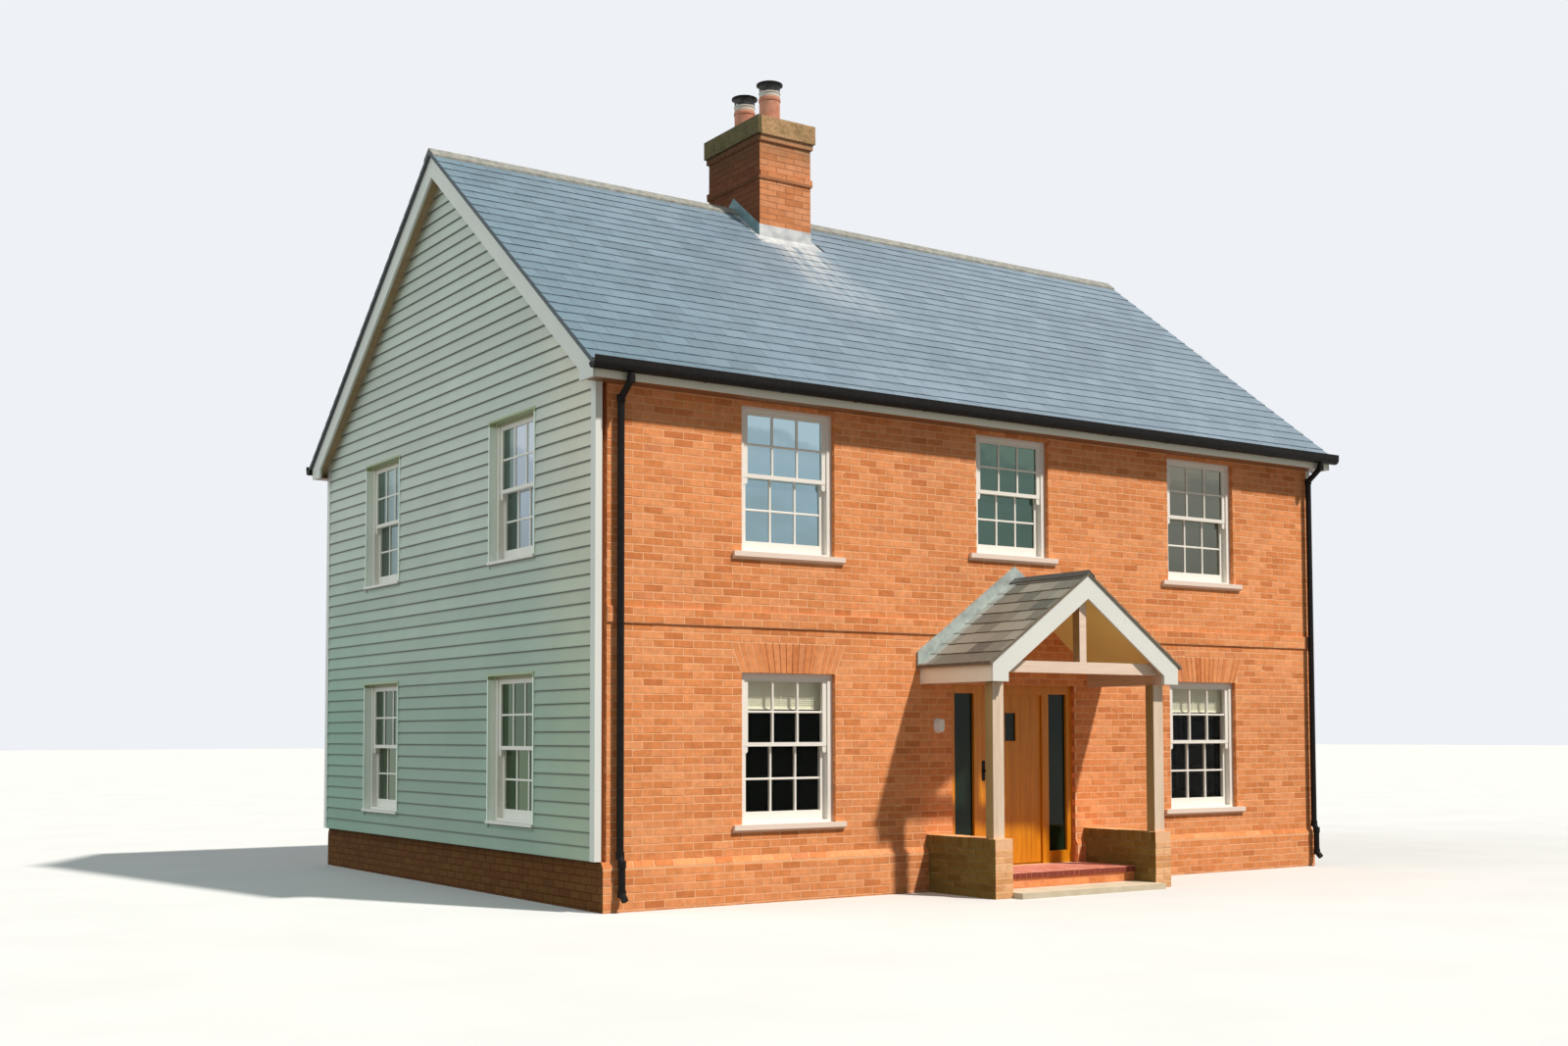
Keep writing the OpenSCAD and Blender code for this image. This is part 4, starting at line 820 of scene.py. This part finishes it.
# painted light and shade on the boards: darker low down and low at the back end, lighter and warmer towards the front
# end
clear_of_low_shade = climb(level, 1.8, 4.3)
base = tint(base, blend(clear_of_low_shade, (0.5, 0.64, 0.56), as_it_is))
base = tint(base, blend(climb(along, -2.2, -3.4), as_it_is, (1.3, 1.13, 1.05)))
low_back_shade = times(climb(along, 1.2, 3.0), sums("SUBTRACT", 1.0, clear_of_low_shade))
base = tint(base, blend(low_back_shade, as_it_is, (0.78, 0.94, 0.9)))
board = sums("DIVIDE", sums("SUBTRACT", level, board_low), board_gauge)
own = tree_node(place.id_data, "TexWhiteNoise", set_noise_dimensions="1D", W=sums("FLOOR", board)).outputs["Value"]
base = tint(base, ramp(own, (0.0, 0.93), (1.0, 1.05)))
# painted shadow: each board is darker along its laps, as shade under the board above
painted_lap_shadow = ramp(sums("FRACT", board), (0.0, 0.36), (0.05, 0.95), (0.2, 1.0), (0.8, 0.96), (0.9, 0.58), (1.0, 0.32))
coat(sage, tint(base, painted_lap_shadow))
paint_nodes(sage, "left_weatherboards", "right_weatherboards")

white_paint = paint_finish("white_paint", (0.75, 0.76, 0.71), (30, 30, 30), 0.03)[0]
paint_nodes(white_paint, "corner_boards", "bargeboards", "porch_bargeboards")
cream_grain = (4, 40, 40)
paint_nodes(paint_finish("cream_paint", (0.9, 0.86, 0.73), cream_grain, 0.04)[0], "porch_fascias")
soffit_top, fascia_back = 4.9975, 3.899
# painted light and shade on the main eaves: the fascia cream is paler than the porch's, standing in for light thrown up
# under the gutter, and the soffit's underside is painted dark brown as shade
eaves_paint, place, base = paint_finish("eaves_paint", (0.95, 0.93, 0.8), cream_grain, 0.04)
under = times(below(axis(place, "Z"), soffit_top), below(reach(place, "Y"), fascia_back))
coat(eaves_paint, blend(under, base, (0.2, 0.09, 0.04)))
paint_nodes(eaves_paint, "fascias")
# partly painted light: the porch ceiling boards are cream, made brighter and yellower to stand in for warm light thrown
# up from the ground
paint_nodes(paint_finish("cream_paint_with_painted_bounce", (0.86, 0.76, 0.3), cream_grain, 0.04)[0], "porch_roof_boards")

# gutter brackets: half-round straps screwed to the fascia every 0.9 m, black as the gutter
choose()
bpy.ops.mesh.primitive_cylinder_add(vertices=28, radius=0.0632, depth=0.026, end_fill_type="NOTHING",
    rotation=(0, quarter, 0), location=(0, 0, 0))
strap = bpy.context.object
bpy.ops.object.transform_apply(location=False, rotation=True, scale=True)
edited(strap, bpy.ops.mesh.delete, faces=lambda c, n: c.z > -0.03, type="FACE")
worked(strap, "SOLIDIFY", thickness=0.0045, offset=-1.0)
gutter_y, gutter_rim, lip_y, lip_z = 3.965, 5.108, 4.0228, 5.1375
straps = [(-4.95 + 0.9 * i, side * gutter_y, gutter_rim) for side in (-1, 1) for i in range(12)]
lay("gutter_brackets", strap, straps, black_iron, 44, uneven=0)

# the high front lip of the gutters, rolled over at its top
lip = eased("gutter_lip_pattern", (1.0, 0.0044, 0.057), lambda a, b: abs(a.x - b.x) > 0.5 and a.z > 0, 0.0015, 2)
low_end, high_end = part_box("gutters")
lips = [(0, side * lip_y, lip_z, high_end[0] - low_end[0]) for side in (-1, 1)]
lay("gutter_front_lips", lip, lips, black_iron, 47, uneven=0)


# ------------------------
# Sash windows: three panes by two in each sash, divided by slim white glazing bars, with
# curved horns below the upper sash. Clear glass; upstairs and on the gables the panes carry painted reflections, and
# the rooms behind are painted dark.
clear_glass, place = finish("clear_glass", rough=0.03, shine=0.45)
level, along, across = (axis(place, name) for name in "ZXY")
storey = climb(level, 3.0, 3.2)
front_low = times(sums("SUBTRACT", 1.0, storey), below(across, -3.5))
coat(clear_glass, sums("MULTIPLY_ADD", front_low, -0.86, 0.92), "Alpha")
# painted reflections: the upper and gable panes take a tone of reflected sky, cloud and trees that varies along each
# wall and up the panes, and the lower gable panes a dark green
cloud = cloudy(stretch(place, (1.1, 1.1, 2.2)), 1.0)
height = sums("ADD", climb(level, 3.4, 4.9), times(sums("SUBTRACT", cloud, 0.5), 1.2))
painted_sky_sheen = ramp(height, (0.1, (0.78, 0.8, 0.78)), (0.5, (0.92, 0.96, 0.98)), (0.8, (1.02, 1.02, 1.02)),
    (0.9, (1.35, 1.3, 1.28)))
pale_pane_reflection, dark_pane_reflection = (0.38, 0.52, 0.57), (0.11, 0.17, 0.135)
front_pane_reflections = ramp(climb(along, -5.1, 5.1), (0.0, (0.22, 0.34, 0.34)), (0.06, pale_pane_reflection), (0.3, pale_pane_reflection),
    (0.42, dark_pane_reflection), (0.58, dark_pane_reflection), (0.72, (0.195, 0.185, 0.145)), (1.0, (0.195, 0.205, 0.16)))
at_side = ramp(climb(across, -2.4, 2.4), (0.0, (0.42, 0.49, 0.53)), (0.14, (0.42, 0.48, 0.53)),
    (0.16, (0.14, 0.2, 0.18)), (0.8, (0.15, 0.22, 0.2)), (0.84, (0.26, 0.36, 0.36)),
    (0.9, (0.15, 0.22, 0.2)), (1.0, (0.14, 0.21, 0.19)))
side = above(sums("ABSOLUTE", along), 4.8)
painted_reflection = tint(blend(side, front_pane_reflections, at_side), painted_sky_sheen)
coat(clear_glass, blend(storey, blend(side, (0.01, 0.014, 0.01), (0.085, 0.135, 0.075)), painted_reflection))
coat(clear_glass, times(sums("MAXIMUM", storey, side), 0.9), "Metallic")
relief(clear_glass, cloudy(place, 3.5, 2), 0.003, 0.15)

# sills have a splayed underside on the brick fronts; on the boarded gables they are thin drips
nose, drip, sunk_rail = 0.024, 0.045, 0.035
low_rail_span, high_rail_span, hood_out = (1.5405, 1.5815), (4.2245, 4.2655), 0.075


def sill_moved(x, y, z):
    if min(abs(z - low) for low in (low_sill, high_sill, small_sill)) < 0.001:
        z += drip if abs(x) > 5.0 else nose if abs(y) > half_y + 0.005 else 0.0
    return x, y, z


def rail_moved(x, y, z):
    at_rail = any(low < z < high for low, high in (low_rail_span, high_rail_span))
    return x, y, z - (sunk_rail if at_rail and abs(x) > 4.9 else 0.0)


def hood_moved(x, y, z):
    return copysign(min(abs(x), half_x + hood_out), x), y, z


upper_head_shade, lower_head_shade = 4.903, (2.235, 2.6)
window_white = toned(white_paint, "window_white", (1.14, 1.07, 1.05))
frame_paint = toned(window_white, "frame_and_sill_paint")
base, ways = skin(frame_paint)
place = ways["Object"]
level = axis(place, "Z")
tinted = blend(above(reach(place, "Y"), half_y - 0.002), base, (0.84, 0.68, 0.58))
# painted shade: on the gables, the frame heads and hoods under the boards' edges are dark olive
under = sums("MAXIMUM", above(level, upper_head_shade), times(above(level, lower_head_shade[0]), below(level, lower_head_shade[1])))
coat(frame_paint, tint_where(times(above(reach(place, "X"), 4.85), under), tinted, (0.42, 0.44, 0.28)))
# painted light: the linings take a brighter, greener copy of the frame paint, standing in for sky light on faces the
# lamps barely reach
brightened_lining_paint = toned(frame_paint, "brightened_lining_paint", (1.06, 1.24, 1.22))
reshaped("window_frames", "window_frames_and_sills", frame_paint, sill_moved)
reshaped("window_linings", "flush_window_linings", brightened_lining_paint, hood_moved)
reshaped("upper_sashes", "upper_sash_frames", window_white, rail_moved)
reshaped("lower_sashes", "lower_sash_frames", window_white, rail_moved)
reshaped("window_glass", "window_panes", clear_glass, rail_moved)

bar_wide, bar_deep, cross_high = 0.024, 0.03, 0.022
bar = eased("glazing_bar_pattern", (bar_wide, bar_deep, 1.0), long_front(2), 0.006, 2)
cross = eased("cross_bar_pattern", (1.0, bar_deep, cross_high), long_front(0), 0.006, 2)
horn = eased("sash_horn_pattern", (0.05, 0.036, 0.07),
    lambda a, b: a.z < 0 and b.z < 0 and abs(a.y - b.y) > 0.02, 0.021, 4, 0.35)
jamb, foot, head_h, stile, top_rail, meet_rail, low_rail = 0.062, 0.024, 0.036, 0.052, 0.046, 0.04, 0.096
sash_t, sash_y, brick_reveal, board_reveal = 0.044, 0.014, 0.05, 0.01


def sash_parts(at, wide, low, head, reveal):
    """The upright bars, cross bars and horns of one window, in its wall's own x, y and z."""
    z0, inner = low + course, wide / 2 - jamb
    top, glass_half = head - z0 - head_h, inner - stile
    meet = (top + foot + low_rail - top_rail) / 2 - (sunk_rail if reveal == board_reveal else 0.0)
    upper_y, lower_y = reveal + sash_y + sash_t / 2, reveal + sash_y + sash_t * 1.5
    uprights, crosses = [], []
    for y, g0, g1 in ((upper_y, meet + meet_rail, top - top_rail), (lower_y, foot + low_rail, meet)):
        z = z0 + (g0 + g1) / 2
        uprights += [(at + k * glass_half / 3, y, z, bar_wide, bar_deep, g1 - g0) for k in (-1, 1)]
        crosses.append((at, y, z, 2 * glass_half, bar_deep - 0.0004, cross_high))
    horns = [(at + k * (inner - stile / 2), upper_y, z0 + meet - 0.034, 0, 0, 0) for k in (-1, 1)]
    return uprights, crosses, horns


gable_windows = [(0.05 + s * 1.805, 1.06, *span) for s in (-1, 1)
    for span in ((low_sill, low_head), (high_sill, high_head))]
uprights, crosses, horns = [], [], []
for windows, half, start, turn, side, reveal in (
        (low_windows + high_windows, half_x, (-half_x, -half_y), 0.0, 1, brick_reveal),
        (back_windows, half_x, (half_x, half_y), pi, -1, brick_reveal),
        (gable_windows, half_y, (-half_x, half_y), -quarter, 1, board_reveal),
        (gable_windows, half_y, (half_x, -half_y), quarter, -1, board_reveal)):
    for x, w, low, head in windows:
        for pieces, places in zip((uprights, crosses, horns), sash_parts(half + side * x, w, low, head, reveal)):
            pieces += onto_face(places, start, turn)
for name, pattern, places, seed in (("glazing_bars_upright", bar, uprights, 41),
        ("glazing_bars_cross", cross, crosses, 42), ("sash_horns", horn, horns, 43)):
    lay(name, pattern, places, window_white, seed, uneven=0)
board_foot = box_piece("board_foot_pattern", (0.05, 1.0, drip))
feet = [(side * (half_x + 0.025), y, low + drip / 2, 0, 1.104, drip - 0.001)
    for side in (-1, 1) for y in (-1.855, 1.755) for low in (low_sill, high_sill)]
lay("boards_under_drips", board_foot, feet, sage, 48, uneven=0)


# ------------------------
# Blinds: cream slatted blinds of painted aluminium in the two ground floor front windows,
# hung from a head rail inside the box frame and drawn most of the way up.
blind_wide, blind_y, rail_z, foot_z = 0.99, -half_y + 0.171, 2.218, 1.928
slat = box_piece("blind_slat_pattern", (blind_wide, 0.025, 0.0008))
edited(slat, bpy.ops.mesh.subdivide, edges=lambda a, b: abs(a.y - b.y) > 0.01, number_cuts=3)
for point in slat.data.vertices:
    point.co.z += 0.0022 * (1 - (point.co.y / 0.0125) ** 2)
rail = eased("blind_rail_pattern", (0.4, 0.02, 0.015), lambda a, b: abs(a.x - b.x) > 0.1, 0.0004)
blind_paint = paint_finish("blind_cream_paint", (0.98, 0.98, 0.8), (3, 60, 60), 0.03)[0]
slats, rails = [], []
for x in side_x:
    slats += [(x, blind_y, z, 0, 0, 0, 0, radians(-72)) for z in np.arange(rail_z - 0.028, foot_z, -0.02)]
    rails += [(x, blind_y, rail_z, blind_wide, 0.028, 0.033), (x, blind_y, foot_z - 0.01, blind_wide, 0.026, 0.016)]
    rails += [(x + k, blind_y - 0.0135, (rail_z + foot_z) / 2, 0.004, 0.0012, rail_z - foot_z)
        for k in (-0.4, 0.0, 0.4)]
lay("blind_slats", slat, slats, blind_paint, 45, uneven=0)
lay("blind_rails_and_tapes", rail, rails, blind_paint, 46, uneven=0)


# ------------------------
# Front door and porch timber: a golden oak door set, silvered oak posts, plates and truss,
# all pegged together, round a boarded leaf with one small pane; plain stone floors below.
def oak_finish(name, dark, light, along, rough=0.5, inside=False):
    made, place = finish(name, rough=rough)
    scale = [54.0] * 3
    scale["xyz".index(along)] = 3.15
    fibre = cloudy(stretch(place, scale), 1.0, 6, 0.65)
    wide = cloudy(stretch(place, [v * 0.22 for v in scale]), 1.0)
    base = ramp(sums("ADD", times(fibre, 0.5), times(wide, 0.5)), (0.3, dark), (0.7, light))
    coat(made, unlit_inside(place, base) if inside else base)
    relief(made, fibre, 0.0018, 0.7)
    return made


door_wood = oak_finish("golden_oak", (0.47, 0.148, 0.002), (0.76, 0.29, 0.005), "z", rough=0.42)
paint_nodes(door_wood, "door_frame", "front_door")
post_wood = oak_finish("silvered_oak_upright", (0.6, 0.45, 0.32), (0.84, 0.68, 0.53), "z")
# painted shade: the porch posts and truss are darker on faces turned away from the lamp
paint_nodes(shaded_away_side(post_wood, (0.46, 0.44, 0.24)), "porch_posts")
beam_wood = oak_finish("silvered_oak_level", (0.7, 0.52, 0.4), (0.9, 0.72, 0.58), "x")
paint_nodes(shaded_away_side(beam_wood, (0.45, 0.38, 0.25)), "porch_truss")
paint_nodes(oak_finish("silvered_oak_deep", (0.46, 0.32, 0.2), (0.7, 0.54, 0.4), "y"), "porch_plates")
paint_nodes(oak_finish("sawn_boards", (0.38, 0.27, 0.15), (0.55, 0.42, 0.26), "x", rough=0.8, inside=True),
    "first_floor", "front_roof_slope", "back_roof_slope")

# the boards of the leaf, six upright planks with a vee at each joint, cut round the small pane and its bead
plank_pitch, plank_thick, bead_wide, bead_thick, bead_room = 0.148, 0.0065, 0.014, 0.012, 0.012
leaf_low, leaf_high, pane_low, pane_high, pane_half = 0.238, 2.093, 1.5813, 1.8913, 0.08
face_y, bead_y = -3.625 - 0.004 + plank_thick / 2, -3.627
plank = eased("door_board_pattern", (0.145, plank_thick, 1.0), long_front(2), 0.0035)
boards = []
for i in range(6):
    a, b = (i - 3) * plank_pitch + 0.001, (i - 2) * plank_pitch - 0.001
    tall = [(a, b, leaf_low, leaf_high)]
    if i in (2, 3):
        side = (a, -pane_half - bead_room) if i == 2 else (pane_half + bead_room, b)
        tall = [(a, b, leaf_low, pane_low - bead_room), (a, b, pane_high + bead_room, leaf_high),
            (*side, pane_low - bead_room, pane_high + bead_room)]
    boards += [(porch_x + (c + d) / 2, face_y, (e + f) / 2, d - c, plank_thick, f - e) for c, d, e, f in tall]
bead = eased("door_bead_pattern", (bead_wide, bead_thick, 0.3), long_front(2), 0.004, 2)
side_beads = [(porch_x + k * (pane_half + 0.005), bead_y, (pane_low + pane_high) / 2, bead_wide, bead_thick,
    pane_high - pane_low + 2 * bead_room) for k in (-1, 1)]
level_bead = eased("level_bead_pattern", (0.145, bead_thick, bead_wide),
    long_front(0), 0.004, 2)
end_beads = [(porch_x, bead_y, z, 2 * pane_half - 0.004, bead_thick, bead_wide)
    for z in (pane_low - 0.005, pane_high + 0.005)]
for name, pattern, places, seed in (("door_boards", plank, boards, 51), ("door_pane_bead_sides", bead, side_beads, 52),
        ("door_pane_bead_ends", level_bead, end_beads, 53)):
    lay(name, pattern, places, door_wood, seed, "door", uneven=0)

dark_glass, place = finish("dark_glass", rough=0.06, shine=0.18)
dark_glass.node_tree.nodes["Principled BSDF"].inputs["Base Color"].default_value = (0.01, 0.022, 0.01, 1)
relief(dark_glass, cloudy(place, 4, 2), 0.002, 0.1)
paint_nodes(dark_glass, "sidelight_glass", "door_glass")

stone, place = finish("sawn_stone", rough=0.85)
coat(stone, unlit_inside(place, mottled(place, 5, (0.6, 0.5, 0.35), (0.74, 0.64, 0.48), 6)))
relief(stone, cloudy(place, 80, 4), 0.0015, 0.7)
paint_nodes(stone, "ground_floor", "porch_floor")

lamp_white, place = finish("opal_glass", rough=0.25)
coat(lamp_white, mottled(place, 6, (0.78, 0.77, 0.74), (0.86, 0.85, 0.82)))
paint_nodes(lamp_white, "wall_lamp")


# ------------------------
# The pattern pieces have been copied and go.
for pattern in (brick, paver, slate, strap, lip, bar, cross, horn, board_foot, slat, rail, plank, bead, level_bead):
    bpy.data.objects.remove(pattern)
